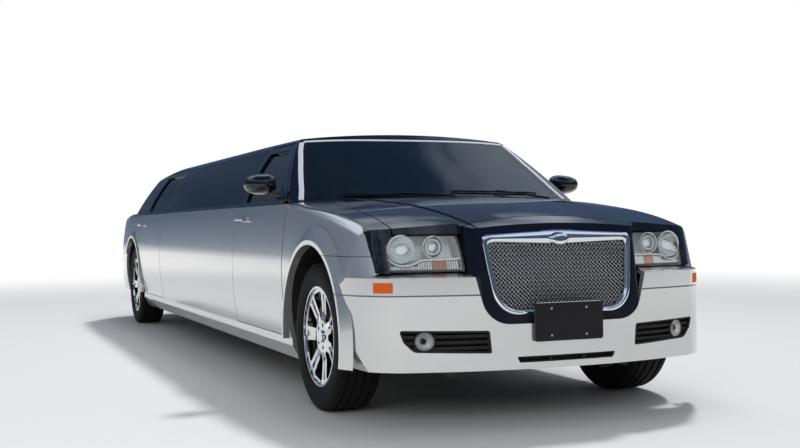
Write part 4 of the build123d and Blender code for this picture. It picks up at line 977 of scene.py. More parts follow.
# %% Plates
plate_half, plate_low, plate_high = 0.175, 0.374, 0.544
plate_y = front_axle - 0.850
screw_x, screw_in = 0.089, 0.025
screw_profile = [(0.0, 0.0055), (0.0022, 0.0050), (0.0030, 0.0030), (0.0030, 0.0)]


def plate_set(face_y, facing, low, high, half):
    """A blank plate with a raised rim and screws, whose face looks along facing on Y."""
    outline = rounded_box(-half, low, half, high, 0.012)
    middle_z = (low + high) / 2

    def loops(*steps):
        """A skin over the outline at steps of wide share, high share and depth."""
        return skin([[(x, face_y - facing * depth, z) for x, z in sized(outline, (0, middle_z), wide, tall)]
                     for wide, tall, depth in steps])

    rim = loops((0.96, 0.92, 0.005), (1.0, 1.0, 0.005), (1.0, 1.0, 0.0012), (0.992, 0.984, 0.0),
                (0.985, 0.970, 0.0), (0.982, 0.962, 0.0016))
    panel = loops((0.99, 0.98, 0.004), (0.99, 0.98, 0.0014), (0.0, 0.0, 0.0014))
    facing_turn = Matrix.Rotation(facing * pi / 2, 4, "Z")
    screws = [moved(turned(screw_profile, 16), at(x, face_y - facing * 0.0034, z) @ facing_turn)
              for x in (-screw_x, screw_x) for z in (high - screw_in, low + screw_in)]
    return rim, panel, joined(*screws)


rim, panel, screws = plate_set(plate_y, -1, plate_low, plate_high, plate_half)
hanger_outline = ((-0.118, 0.386), (0.118, 0.386), (0.118, 0.438), (-0.118, 0.438))
hanger = skin([[(x, plate_y + y, z) for x, z in hanger_outline] for y in (0.004, 0.012, 0.034)], caps=True)
front_panel = build("front_plate_face", joined(panel, hanger), "body", "plate_black", 30)
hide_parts("front_plate")
build("front_plate_rim", rim, "body", "gloss_plastic", 30)
top_edge = tube([(x, plate_y + 0.0022, plate_high + 0.0002) for x in (-0.163, 0, 0.163)], 0.0019, 6)
build("front_plate_top_edge", top_edge, "body", "plate_edge", 30)
build("front_plate_screws", screws, "body", "satin_metal", 30)
rear_plate_y = rear_axle + 1.040
rim, panel, screws = plate_set(rear_plate_y + 0.006, 1, 0.750, 0.910, 0.172)
build("rear_plate_face", panel, "trunk_lid", "plate_black", 30)
build("rear_plate_rim", rim, "trunk_lid", "gloss_plastic", 30)
build("rear_plate_screws", screws, "trunk_lid", "satin_metal", 30)
print("plates are blank")

# %% [markdown]
# Trim follows the body's own curves, so this cell repeats three of them: the body side and the door glass
# are arcs in the cross section, and the windscreen is a leaning sheet with a bow across it. Every strip
# below is laid on one of these, a few millimetres proud.

# %% Curves that the trim lies on
body_side = circle_through((0.889, 0.255), (0.938, 0.640), (0.898, 1.018))
glass_side = circle_through((0.866, 1.018), (0.771, 1.229), (0.650, 1.405))
screen_foot = Vector((0, front_axle + 0.440, 1.040))
screen_rise = Vector((0, 0.585, 0.390)).normalized()
screen_out = Vector((0, -screen_rise.z, screen_rise.y))
screen_bow = 4.6


def half_width(circle, z):
    """Half width of the body or of its glass at that height."""
    u, v, r = circle
    return u + sqrt(r * r - (z - v) ** 2)


def screen_place(x, z, proud=0.0):
    """A point of the windscreen's outer face, or that much in front of it."""
    sag = screen_bow - sqrt(screen_bow ** 2 - x * x)
    along = (z - screen_foot.z + screen_out.z * sag) / screen_rise.z
    return Vector((x, 0, 0)) + screen_foot + screen_rise * along + screen_out * (proud - sag)


def ribbon(points, section):
    """A closed moulding: each point gives a place function for the section's (across, proud) corners."""
    return skin([[place(a, b) for a, b in section] for place in points], caps=True)


print("body side at the belt:", round(half_width(body_side, 1.018), 3))

# %% [markdown]
# Bright strips run up both sides of the windscreen and across its top, and the glass has a black border
# inside them. Dark weather strips lie along the foot of the side glass. Those on a door are pieces of their
# own, because they swing with it.

# %% Windscreen strips and weather strips
strip_line = [(0.806, 1.034), (0.779, 1.092), (0.757, 1.150), (0.733, 1.209), (0.706, 1.270), (0.686, 1.318),
              (0.668, 1.354), (0.652, 1.378)]
strip_section = [(-0.013, -0.001), (-0.013, 0.0020), (-0.008, 0.0048), (0.008, 0.0048), (0.013, 0.0020),
                 (0.013, -0.001)]
border_section = [(-0.040, -0.001), (-0.040, 0.0006), (-0.013, 0.0006), (-0.013, -0.001)]
strip_places = [lambda a, b, x=x, z=z: screen_place(x + a, z, b) for x, z in strip_line]
screen_strip, border = ribbon(strip_places, strip_section), ribbon(strip_places, border_section)
build_pair("windscreen_strip", screen_strip, "body", "bright_trim", 40)
build_pair("windscreen_border", border, "body", "gloss_plastic", 40)
header_half, header_z, header_drop, header_slope = 0.640, 1.396, 0.012, 0.36


def header_place(x):
    """The place function of the top strip at one point across the car; its ends drop a little."""
    z = header_z - header_drop * (x / header_half) ** 4
    return lambda a, b: screen_place(x, z - a * header_slope, b)


header_strip = ribbon([header_place(header_half * (2 * k / 24 - 1)) for k in range(25)], strip_section)
build("windscreen_strip_top", header_strip, "body", "bright_trim", 40)
belt_section = [(0.0015, 0.0), (0.0015, 0.020), (0.0070, 0.021), (0.0150, 0.014), (0.0200, 0.004),
                (0.0200, 0.0)]
belt_height = 1.0152
belt_runs = (("front_door", front_axle + 0.628, front_axle + 1.585),
             ("body", front_axle + 1.597, rear_axle - 1.458),
             ("rear_door", rear_axle - 1.445, rear_axle - 0.403))


def belt_place(y):
    """The place function of a weather strip at one point along the car."""
    return lambda a, b: Vector((half_width(glass_side, belt_height + b) + a, y, belt_height + b))


for owner, start, end in belt_runs:
    steps = max(2, int((end - start) / 0.25))
    strip = ribbon([belt_place(start + (end - start) * k / steps) for k in range(steps + 1)], belt_section)
    body = "body" if owner == "body" else owner + "_"
    build_pair("belt_strip_" + owner, strip, body, "gloss_plastic", 30)
print("weather strips:", 2 * len(belt_runs))

# %% [markdown]
# Two wipers lie at the foot of the windscreen. Each has a cap on its pivot, a tapered arm and a blade with
# a rubber lip. All are tubes, and the windscreen's place function keeps the blade just over the glass.

# %% Wipers
wipers = (("left", (0.665, 0.4955, 1.036), 0.045, 0.619, 1.077),
          ("right", (0.035, 0.4290, 1.048), -0.575, -0.005, 1.063))
blade_steps = 12


def blade_line(start, end, z, proud):
    """Points along a blade, that much in front of the glass."""
    return [screen_place(start + (end - start) * k / blade_steps, z - 0.010 * k / blade_steps, proud)
            for k in range(blade_steps + 1)]


for name, (x, y, z), start, end, blade_z in wipers:
    blade, lip = (blade_line(start, end, blade_z, proud) for proud in (0.009, 0.004))
    pivot = Vector((x, front_axle + y, z))
    middle = blade[blade_steps // 2] + screen_out * 0.008
    arm = [pivot + up * 0.006, pivot.lerp(middle, 0.15) + up * 0.006, pivot.lerp(middle, 0.6) + up * 0.004,
           middle]
    cap = tube([pivot - up * 0.018, pivot, pivot + up * 0.007, pivot + up * 0.010],
               [0.010, 0.010, 0.009, 0.004], 16)
    wiper = joined(tube(blade, [0.0015] + [0.0034] * (blade_steps - 1) + [0.0015], 8), tube(lip, 0.0022, 6),
                   tube(arm, [0.007, 0.006, 0.004, 0.003], 8), cap)
    build("wiper_" + name, wiper, "body", "grained", 40)
print("wipers:", len(wipers))

# %% [markdown]
# Between the hood and the windscreen the cowl's air intake is a row of fine ribs. Both edges are curved, so
# each rib is measured between them, and those that would be too short are left out.

# %% Cowl ribs
cowl_ribs = []
rib_count, rib_span = 90, 1.20
shortest_rib = 0.012
for k in range(rib_count + 1):
    x = -rib_span / 2 + rib_span * k / rib_count
    hood_edge = 0.404 + 0.062 * (x / 0.737) ** 2 + 0.012
    glass_foot = screen_place(x, 1.046).y - front_axle - 0.004
    top = 1.047 - 0.034 * (x / 0.898) ** 2 - 0.0025
    if glass_foot - hood_edge > shortest_rib:
        rib = [(x, front_axle + hood_edge, top - 0.001), (x, front_axle + glass_foot, top + 0.0015)]
        cowl_ribs.append(tube(rib, 0.0022, 6))
build("cowl_ribs", joined(*cowl_ribs), "body", "grained", 40)
print("cowl ribs:", len(cowl_ribs))

# %% [markdown]
# A door mirror is an egg with a flat back that holds the glass. It is a skin over rings of a soft box,
# small at the nose and full at the back, where the last rings turn inwards. A short foot joins it to a dark
# sail in the corner of the door's glass.

# %% Door mirrors
egg_front, egg_rear = front_axle + 0.726, front_axle + 0.856
egg_x, egg_z, egg_half, egg_high = 0.9590, 1.1300, 0.0885, 0.0580
egg_steps, egg_power, nose_power = 14, 2.6, 2.3


def egg_row(y, scale):
    """A soft box ring of the door mirror, smaller towards its nose and higher towards the door."""
    row = []
    for c, s in round_steps(40):
        reach = box_reach(c, s, egg_power)
        taper = 1 + 0.16 * reach * c
        row.append((egg_x - 0.010 * (1 - scale) + egg_half * scale * reach * c, y,
                    egg_z + egg_high * scale * reach * s / taper))
    return row


egg_rows = [egg_row(egg_front, 0.03)]
for k in range(1, egg_steps + 1):
    share = k / egg_steps
    scale = (1 - (1 - share) ** nose_power) ** (1 / nose_power)
    egg_rows.append(egg_row(egg_front + (egg_rear - 0.012 - egg_front) * share, scale))
for back, scale in ((0.003, 0.985), (0.0, 0.955), (0.0, 0.925), (0.006, 0.905)):
    egg_rows.append(egg_row(egg_rear - back, scale))
face_section = ((0.0062, 0.90), (0.0050, 0.90), (0.0046, 0.86), (0.0046, 0.02))
mirror_face = skin([egg_row(egg_rear - back, scale) for back, scale in face_section], caps=True)
foot_rows = []
for share, x in ((0.0, 0.864), (0.3, 0.876), (0.7, 0.894), (1.0, 0.915)):
    foot_rows.append([(x, front_axle + 0.786 + (0.034 - 0.008 * share) * c,
                       1.062 + 0.034 * share + (0.020 + 0.004 * share) * s) for c, s in round_steps(20)])
egg_and_foot = joined(skin(egg_rows, caps=True), skin(foot_rows, caps=True))
sail_outline = round_corners([(0.690, 1.034, 0.004), (0.842, 1.034, 0.006), (0.842, 1.118, 0.008),
                              (0.806, 1.118, 0.010)], 3)


def sail_place(y, z, depth):
    """A point of the door's glass near the mirror, or that much outside it."""
    return Vector((half_width(glass_side, z) + depth, front_axle + y, z))


sail = plate_of(sail_outline, sail_place, -0.012, 0.0028)
shells = build_pair("mirror_shell", egg_and_foot, "front_door_", "black_paint", 50)
for side, shell in zip(("left", "right"), shells):
    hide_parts("mirror_" + side)
build_pair("mirror_face", mirror_face, "front_door_", "mirror_glass", 30)
build_pair("mirror_sail", sail, "front_door_", "gloss_plastic", 30)
print("mirror rings:", len(egg_rows))

# %% [markdown]
# The inner mirror hangs behind the glass from a stalk. Its shell is a skin over one rounded outline, sized
# smaller step by step towards its back, and its face is a thin plate of the same outline.

# %% Inner mirror
inner_outline = round_corners([(-0.120, 1.286, 0.024), (0.120, 1.286, 0.024), (0.112, 1.344, 0.026),
                               (-0.112, 1.344, 0.026)], 6)
inner_middle = (0, 1.315)
shell_rows = [[(x, front_axle + y, z) for x, z in sized(inner_outline, inner_middle, share)]
              for y, share in ((1.066, 1.0), (1.060, 1.03), (1.044, 1.0), (1.034, 0.86), (1.030, 0.6))]
stalk = tube([(0, front_axle + 1.036, 1.320), (0, front_axle + 1.010, 1.352),
              (0, front_axle + 0.968, 1.372)], [0.011, 0.009, 0.014], 10)
inner_shell = joined(skin(shell_rows, caps=True), stalk)
build("inner_mirror_shell", inner_shell, "body", "cabin", 40)
face_outline = sized(inner_outline, inner_middle, 0.97, 0.94)
inner_face = plate_of(face_outline, lambda x, z, depth: Vector((x, front_axle + 1.0665 + depth, z)), 0.0,
                      0.0015)
build("inner_mirror_face", inner_face, "body", "mirror_glass", 30)
print("inner mirror at", round(front_axle + 1.0665, 3))

# %% [markdown]
# The brakes show through the wheels. A caliper is a short arc of a thick ring that straddles the disc. The
# front ones ride on the knuckles and turn with the steering, the rear ones sit on the axle.

# %% Brake calipers
disc_middle = 0.818
caliper_section = [(-0.036, 0.108), (-0.030, 0.101), (0.014, 0.101), (0.020, 0.108), (0.020, 0.170),
                   (0.012, 0.179), (-0.028, 0.179), (-0.036, 0.170)]


def caliper(sign, y, first, last):
    """A caliper between two angles round its wheel's axis, counted from straight back."""
    rows = []
    for k in range(15):
        share = k / 14
        turn = radians(first + (last - first) * share)
        slim = 1 - 0.35 * abs(2 * share - 1) ** 3
        rows.append([(sign * (disc_middle + a * slim), y + r * cos(turn), tyre_radius + r * sin(turn))
                     for a, r in caliper_section])
    return skin(rows, caps=True)


for side, sign in (("left", 1), ("right", -1)):
    front_caliper, rear_caliper = caliper(sign, front_axle, -28, 38), caliper(sign, rear_axle, 150, 205)
    build("caliper_front_" + side, front_caliper, "knuckle_" + side, "steel", 30, 0.002)
    build("caliper_rear_" + side, rear_caliper, "body", "steel", 30, 0.002)
print("calipers: 4")

# %% [markdown]
# A car seat is foam under sewn leather. Each pad here is a closed, crowned form: rings of a soft box whose
# thickness falls to a seam all round, with sewn channels pressed into its face and a cord of piping on the
# seam. Foam this thick barely moves, so its shape is written down directly and needs no simulation.

# %% Helpers for padded seats
channel_half = 0.009


def pad(width, length, thick, channels=(), power=3.4, groove=0.010):
    """A crowned cushion lying flat, its channels running along its length, and the piping round it."""
    steps = 26
    rows = []
    for i in range(steps + 1):
        v = -cos(pi * i / steps)
        ends = max(0.0, 1 - abs(v) ** power) ** (1 / power)
        row = []
        for c, s in round_steps(64):
            reach = box_reach(c, s, power)
            x = width / 2 * reach * c * (0.93 + 0.07 * ends) * (1 - 0.025 * (1 - v * v))
            crown = 1 + 0.16 * (1 - (2 * x / width) ** 2) * (1 - v * v)
            z = thick / 2 * reach * s * (0.10 + 0.90 * ends) * crown
            if s > 0.3:
                z -= sum(groove * exp(-((x - channel) / channel_half) ** 2) for channel in channels) * ends
            row.append((x, v * length / 2, z))
        rows.append(row)
    piping = []
    for c, s in round_steps(72):
        reach = box_reach(c, s, 5)
        piping.append((0.485 * width * reach * c, 0.488 * length * reach * s, 0))
    return joined(skin(rows, caps=True), tube(piping, 0.0045, 6, True))


def even(width, count):
    """Places of that many channels, evenly across a width."""
    return [width * (k / (count - 1) - 0.5) for k in range(count)]


def tilted(x, y, z, degrees):
    """A matrix that tips a pad up towards the front by some degrees and puts it at a place."""
    return at(x, y, z) @ Matrix.Rotation(radians(degrees), 4, "X")


print("channels across a front seat:", even(0.22, 4))

# %% [markdown]
# Two front seats face forwards. Each is five pads: a cushion, a back, a head rest on two stays and a
# bolster down either side of the back. They stand on a moulded plinth.

# %% Front seats
front_seat_y = front_axle + 1.120
seat_base = 0.2635
plinth_outline = rounded_box(-0.21, -0.21, 0.21, 0.21, 0.03)
plinth_section = ((seat_base, 0.86), (0.300, 0.84), (0.380, 0.96), (0.452, 1.0))
for side, x in (("left", 0.37), ("right", -0.37)):
    cushion = moved(pad(0.485, 0.500, 0.150, even(0.22, 4)), tilted(x, front_seat_y + 0.262, 0.515, 3))
    back = moved(pad(0.470, 0.560, 0.120, even(0.20, 4)), tilted(x, front_seat_y + 0.535, 0.790, 97))
    head = moved(pad(0.250, 0.150, 0.095), tilted(x, front_seat_y + 0.580, 1.078, 99))
    bolsters = [moved(pad(0.085, 0.44, 0.120), tilted(x + shift, front_seat_y + 0.495, 0.770, 97))
                for shift in (-0.195, 0.195)]
    seat = build("front_seat_pads_" + side, joined(cushion, back, head, *bolsters), "body", "leather", 50)
    if side == "left":
        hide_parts("seats")
    plinth = skin([[(x + p.x * wide, front_seat_y + 0.285 + p.y * wide, z) for p in plinth_outline]
                   for z, wide in plinth_section], caps=True)
    stays = [tube([(x + shift, front_seat_y + 0.566, 0.985), (x + shift, front_seat_y + 0.576, 1.050)],
                  0.006, 8) for shift in (-0.055, 0.055)]
    build("front_seat_base_" + side, joined(plinth, *stays), "body", "cabin", 40)
print("front seats at", round(front_seat_y, 3))

# %% [markdown]
# A bench faces forwards at the back, and a long bench runs along the car's left side, as in most stretched
# cars. The side bench is made of the same pads, turned to face across the car. Both stand on plain bases.

# %% Benches
rear_seat_y = rear_axle - 0.560
bench_pads = []
for x in (-0.420, 0.0, 0.420):
    cushion, back = pad(0.412, 0.500, 0.150, even(0.24, 5)), pad(0.412, 0.440, 0.120, even(0.24, 5))
    bench_pads.append(moved(cushion, tilted(x, rear_seat_y + 0.265, 0.622, 3)))
    bench_pads.append(moved(back, tilted(x, rear_seat_y + 0.545, 0.875, 98)))
rear_bench = build("rear_bench_pads", joined(*bench_pads), "body", "leather", 50)
side_start, side_end = front_axle + 2.110, rear_axle - 1.570
side_count = 3
side_length = (side_end - side_start) / side_count
side_channels = even(side_length * 0.7, 6)
across = Matrix.Rotation(radians(-90), 4, "Z")
upright = Matrix.Rotation(radians(82), 4, "Y") @ Matrix.Rotation(radians(90), 4, "Z")
side_pads = []
for k in range(side_count):
    y = side_start + side_length * (k + 0.5)
    cushion = pad(side_length * 0.985, 0.300, 0.130, side_channels)
    back = pad(side_length * 0.985, 0.330, 0.100, side_channels)
    side_pads += [moved(cushion, at(0.525, y, 0.545) @ across), moved(back, at(0.690, y, 0.735) @ upright)]
side_bench = build("side_bench_pads", joined(*side_pads), "body", "leather", 50)
bases = []
for x0, x1, y0, y1, z0, z1 in ((-0.60, 0.60, rear_seat_y + 0.04, rear_seat_y + 0.50, 0.5305, 0.560),
                               (0.430, 0.745, side_start + 0.02, side_end - 0.02, seat_base, 0.490)):
    corners = rounded_box(x0, y0, x1, y1, 0.02)
    middle = Vector(((x0 + x1) / 2, (y0 + y1) / 2))
    inner = [middle + Vector(((p.x - middle.x) * 0.985, (p.y - middle.y) * 0.985)) for p in corners]
    bases.append(skin([[(p.x, p.y, z) for p in outline]
                       for outline, z in ((corners, z0), (corners, z1 - 0.012), (inner, z1))], caps=True))
build("bench_bases", joined(*bases), "body", "cabin", 40)
print("bench pads:", len(bench_pads) + len(side_pads))

# %% [markdown]
# Doors have a lining inside: a moulded card with an armrest and a pull. The floor has a carpet with a bound
# edge. They are thin, so they stay within the space between the door's skin and the posts.

# %% Door linings and carpet
# How far inwards and how far up each point of the armrest's section lies
rest_section = ((0.0, -0.035), (0.030, -0.030), (0.046, -0.008), (0.042, 0.010), (0.0, 0.016))


def door_card(y0, y1, z0, z1, rear_arch=False):
    """The lining of a left door, with an armrest that grows out of it, and its pull."""
    low_rear = 0.24 if rear_arch else 0.04
    outline = round_corners([(y0, z0, 0.03), (y1 - low_rear, z0, 0.05), (y1, z0 + low_rear * 1.4, 0.05),
                             (y1, z1, 0.02), (y0, z1, 0.02)], 5)
    middle = Vector(((y0 + y1) / 2, (z0 + z1) / 2))
    rows = [[(x, y, z) for y, z in sized(outline, middle, share)]
            for x, share in ((0.8178, 1.0), (0.8120, 1.0), (0.8095, 0.985))]
    stations = ((y0 + 0.16, 0.1), (y0 + 0.20, 0.8), (y0 + 0.30, 1.0), (y1 - 0.32, 1.0), (y1 - 0.25, 0.6),
                (y1 - 0.20, 0.1))
    rest = skin([[(0.812 - a * share, y, 0.700 + b) for a, b in rest_section] for y, share in stations],
                caps=True)
    pull = tube([(0.808, y0 + 0.26, 0.800), (0.790, y0 + 0.28, 0.805), (0.790, y0 + 0.40, 0.812),
                 (0.808, y0 + 0.42, 0.812)], 0.008, 10)
    return joined(skin(rows, caps=True), rest), pull


card_places = (("front_door", front_axle + 0.545, front_axle + 1.560, False),
               ("rear_door", rear_axle - 1.405, rear_axle - 0.560, True))
for owner, y0, y1, rear_arch in card_places:
    card, pull = door_card(y0, y1, 0.350, 0.985, rear_arch)
    build_pair(owner + "_lining", card, owner + "_", "cabin", 35)
    build_pair(owner + "_pull", pull, owner + "_", "satin_metal", 40)


def mat(outline, *section):
    """A flat mat over steps of height and share of the width."""
    return skin([[(p.x * wide, p.y, z) for p in outline] for z, wide in section], caps=True)


carpet = mat(rounded_box(-0.760, front_axle + 0.510, 0.760, rear_axle - 0.505, 0.02),
             (0.2621, 1.0), (0.2650, 1.0), (0.2662, 0.995))
build("cabin_carpet", carpet, "body", "carpet", 40)
print("door linings:", 2 * len(card_places))

# %% [markdown]
# The doors close on bulb seals, soft tubes that run round each opening on the car's side of the gap. They
# also keep daylight out of the gaps, which are wider over the doors than beside them.

# %% Door seals
seal_radius = 0.012
seal_inset = 0.047
front_opening = [(front_axle + 0.599, 1.008), (front_axle + 0.700, 1.090), (front_axle + 0.850, 1.204),
                 (front_axle + 1.000, 1.318), (front_axle + 1.060, 1.362), (front_axle + 1.100, 1.381),
                 (front_axle + 1.160, 1.386), (front_axle + 1.400, 1.386), (front_axle + 1.570, 1.384),
                 (front_axle + 1.586, 1.370), (front_axle + 1.590, 1.200), (front_axle + 1.592, 1.008)]
rear_opening = [(rear_axle - 1.453, 1.008), (rear_axle - 1.453, 1.200), (rear_axle - 1.452, 1.372),
                (rear_axle - 1.440, 1.382), (rear_axle - 1.100, 1.380), (rear_axle - 0.700, 1.376),
                (rear_axle - 0.636, 1.374), (rear_axle - 0.560, 1.270), (rear_axle - 0.460, 1.122),
                (rear_axle - 0.394, 1.024), (rear_axle - 0.386, 1.008)]
for name, opening in (("front", front_opening), ("rear", rear_opening)):
    path = [(half_width(glass_side, z) - seal_inset, y, z) for y, z in opening]
    build_pair(name + "_door_seal", tube(path, seal_radius, 10), "body", "rubber", 40)
print("door seals: 4")

# %% [markdown]
# Nobody photographed the tail, so it is plain. Its panels are curved in plan like the nose, so a place
# function of the same kind follows them, with the tail's own points and lean. A bright moulding crosses
# the trunk lid over the plate.

# %% The tail's curves and the lid's moulding
tail_points = ((0.0, 1.072), (0.450, 1.052), (0.740, 0.990))
tail_corner_points = ((0.740, 0.990), (0.842, 0.905), (0.896, 0.760))
rear_corner_points = ((0.760, 1.010), (0.868, 0.912), (0.918, 0.740))
tail_circle, tail_corner = circle_through(*tail_points), circle_through(*tail_corner_points)
rear_corner = circle_through(*rear_corner_points)
tail_lean = -0.09
lid_bar_half, lid_bar_z = 0.330, 0.942
lid_bar_section = ((-0.001, -0.011), (0.005, -0.010), (0.009, -0.003), (0.009, 0.003), (0.005, 0.010),
                   (-0.001, 0.011))


def on_circle(circle, x):
    """How far back a plan arc lies at that half width."""
    u, v, r = circle
    return v + sqrt(max(0.0, r * r - (x - u) ** 2))


def tail_place(x, z, proud=0.0):
    """A point of the tail's upper face, or that much behind it."""
    depth = on_circle(tail_circle if x < tail_points[2][0] else tail_corner, x)
    return Vector((x, rear_axle + depth + (z - lamp_base_z) * tail_lean + proud, z))


lid_bar_rows = []
for k in range(33):
    share = 2 * k / 32 - 1
    x = lid_bar_half * share
    thin = 1 - abs(share) ** 6
    row = []
    for a, b in lid_bar_section:
        z = lid_bar_z + b * (0.3 + 0.7 * thin)
        row.append(Vector((x, tail_place(abs(x), z, a * (0.2 + 0.8 * thin)).y, z)))
    lid_bar_rows.append(row)
build("trunk_lid_moulding", skin(lid_bar_rows, caps=True), "trunk_lid", "chrome", 40)
print("lid moulding:", 2 * lid_bar_half, "m wide")

# %% [markdown]
# The tail lamps' red lenses are in the solids. They get a bright frame, fine ribs that lie across them and
# a white reversing lens low down at the inner end. Frame and ribs are tubes along the lamp's face.

# %% Tail lamps
frame_path = [(0.645, 0.696), (0.700, 0.696), (0.760, 0.696), (0.810, 0.697), (0.846, 0.700), (0.862, 0.720),
              (0.866, 0.800), (0.866, 0.900), (0.862, 0.958), (0.846, 0.976), (0.800, 0.979), (0.740, 0.979),
              (0.700, 0.979), (0.676, 0.977), (0.666, 0.950), (0.655, 0.830)]
lamp_frame = tube([tail_place(x, z, 0.0008) for x, z in frame_path], 0.0032, 8, True)
white_outline = round_corners([(0.664, 0.714, 0.010), (0.737, 0.714, 0.010), (0.737, 0.772, 0.010),
                               (0.666, 0.772, 0.010)], 5)
white_middle = Vector((0.701, 0.743))
# Share of the outline and how far it stands proud; inner rows keep the curved face of the lens even
white_section = ((1.0, -0.002), (1.0, 0.0012), (0.96, 0.0024), (0.8, 0.0026), (0.6, 0.0026), (0.4, 0.0026),
                 (0.2, 0.0026), (0.02, 0.0026))
white_rows = [[tail_place(x, z, proud) for x, z in sized(white_outline, white_middle, share)]
              for share, proud in white_section]
rib_start, rib_pitch, rib_end = 0.790, 0.0155, 0.858
tail_ribs = []
for k in range(12):
    z = rib_start + rib_pitch * k
    x_in = 0.664 + 0.010 * (z - rib_start) / 0.19
    rib = [tail_place(x_in + (rib_end - x_in) * j / 14, z, 0.0004) for j in range(15)]
    tail_ribs.append(tube(rib, 0.0022, 6))
build_pair("tail_lamp_frame", lamp_frame, "body", "chrome", 40)
build_pair("reversing_lens", skin(white_rows), "body", "white_lens", 40)
build_pair("tail_lamp_ribs", joined(*tail_ribs), "body", "red", 40)
print("tail lamp ribs:", len(tail_ribs), "on each side")

# %% [markdown]
# Red reflectors sit on the bumper's corners. Each follows the corner's arc, and its rows stand proud by
# turns, so it is finely ribbed. Its rows go out along the arc's own radius, which keeps its depth even.

# %% Corner reflectors
reflector_from, reflector_to = 0.8135, 0.8680
reflector_rows = []
for k in range(13):
    x = reflector_from + (reflector_to - reflector_from) * k / 12
    y = rear_axle + on_circle(rear_corner, x)
    out = Vector((x - rear_corner[0], y - rear_axle - rear_corner[1], 0)).normalized()
    near = Vector((x, y, 0)) - out * 0.004
    face = Vector((x, y, 0)) + out * (0.0014 + 0.0008 * (k % 2))
    reflector_rows.append([near + up * 0.584, face + up * 0.586, face + up * 0.6485, near + up * 0.6495])
build_pair("corner_reflector", skin(reflector_rows, caps=True), "body", "red", 25)
print("reflector rows:", len(reflector_rows))

# %% [markdown]
# Short bright sleeves close the exhaust's ends, each with a dark bore. They are turned about an axis that
# runs along the car, so they are skins over rings. The boot has a mat of the cabin's carpet.

# %% Exhaust tips and boot mat
tip_x, tip_z = 0.470, 0.262
tip_section = ((1.010, 0.0290), (1.014, 0.0335), (1.098, 0.0335), (1.101, 0.0320), (1.098, 0.0302),
               (1.0765, 0.0300))
bore_section = ((1.0768, 0.0300), (1.0768, 0.015), (1.0768, 0.001))


def pipe_rings(section):
    """A skin over rings round the left pipe, from places behind the rear axle and radii."""
    return skin([[(tip_x + r * c, rear_axle + y, tip_z + r * s) for c, s in round_steps(32)]
                 for y, r in section])


build_pair("exhaust_tip", pipe_rings(tip_section), "body", "chrome", 40)
build_pair("exhaust_bore", pipe_rings(bore_section), "body", "cabin", 40)
boot_mat = mat(rounded_box(-0.62, rear_axle + 0.06, 0.62, rear_axle + 0.92, 0.03),
               (0.5301, 1.0), (0.5350, 1.0), (0.5365, 0.995))
build("boot_mat", boot_mat, "body", "carpet", 40)
print("exhaust tips at", tip_x)

# %% [markdown]
# Under the hood the engine is one plain block in the solids. A moulded cover with ribs lies on it, with an
# oil cap, so that an open hood shows what one would expect to see.

# %% Engine cover
cover_outline = rounded_box(-0.250, -0.130, 0.250, 0.400, 0.05, 5)
cover_section = ((0.8802, 1.0), (0.900, 1.0), (0.912, 0.97), (0.918, 0.90), (0.920, 0.5), (0.920, 0.02))
cover_rows = [[(x, front_axle + y, z) for x, y in sized(cover_outline, (0, 0.135), share)]
              for z, share in cover_section]
rib_places = (-0.17, -0.14, -0.11, 0.11, 0.14, 0.17)
cover_ribs = [tube([(x, front_axle + y, 0.9215) for y in (-0.06, 0.10, 0.28, 0.34)],
                   [0.002, 0.006, 0.006, 0.002], 8) for x in rib_places]
cap_x, cap_y = 0.04, -0.06
oil_cap = []
for z, r in ((0.918, 0.030), (0.936, 0.030), (0.940, 0.026), (0.940, 0.001)):
    # Every third point stands out a little, for grip
    grips = [1.06 if k % 3 == 0 else 1.0 for k in range(30)]
    oil_cap.append([(cap_x + r * c * grip, front_axle + cap_y + r * s * grip, z)
                    for (c, s), grip in zip(round_steps(30), grips)])
engine_cover = joined(skin(cover_rows), *cover_ribs, skin(oil_cap))
build("engine_cover", engine_cover, "body", "grained", 35)
print("engine cover with", len(cover_ribs), "ribs")

# %% [markdown]
# Behind each wheel the real car has an inner wing, a pressed wall that keeps spray out of the engine bay and
# the boot. Without it one could look through the arches from side to side. A thin sheet with a raised rib
# round its middle does it, set far enough inboard for a steered tyre.

# %% Inner wings
inner_wings = (("front", 0.462, front_axle, ((-0.60, 0.205), (0.50, 0.205), (0.50, 0.780), (0.10, 0.790),
                                             (-0.30, 0.770), (-0.50, 0.700), (-0.60, 0.560))),
               ("rear", 0.668, rear_axle, ((-0.455, 0.235), (0.520, 0.235), (0.560, 0.330), (0.560, 0.500),
                                           (0.470, 0.640), (0.330, 0.740), (0.100, 0.800), (-0.100, 0.800),
                                           (-0.330, 0.740), (-0.455, 0.640))))
wing_sheet = 0.003
wing_rib = 0.006
for end, wall_x, axle, corners in inner_wings:
    middle = [sum(values) / len(corners) for values in zip(*corners)]
    wall_back = wall_x - wing_sheet
    section = ((wall_back, 0.05), (wall_back, 1.0), (wall_x, 1.0), (wall_x, 0.80), (wall_x + wing_rib, 0.77),
               (wall_x + wing_rib, 0.70), (wall_x, 0.67), (wall_x, 0.05))
    rows = [[(x, axle + y, z) for y, z in sized(corners, middle, size)] for x, size in section]
    build_pair("inner_wing_" + end, skin(rows, caps=True), "body", "underbody", 35)
print("inner wings:", 2 * len(inner_wings))

# %% [markdown]
# The studio is a pale floor that fades to white far off, so no horizon line cuts through the car. What the
# camera, mirrors and glass see is told from what lights the car by the kind of ray.

# %% Floor
floor_half = 60.0
floor_colour = (0.70, 0.70, 0.69)
fade_start, fade_end = 5.5, 14.0


def seen_rays(tree):
    """1 for what the camera sees, straight, in mirrors or through glass, and the kinds of ray."""
    path = add_node(tree, "LightPath").outputs
    seen = maths(tree, "MAXIMUM", path["Is Camera Ray"], path["Is Glossy Ray"])
    return maths(tree, "MAXIMUM", seen, path["Is Transmission Ray"]), path


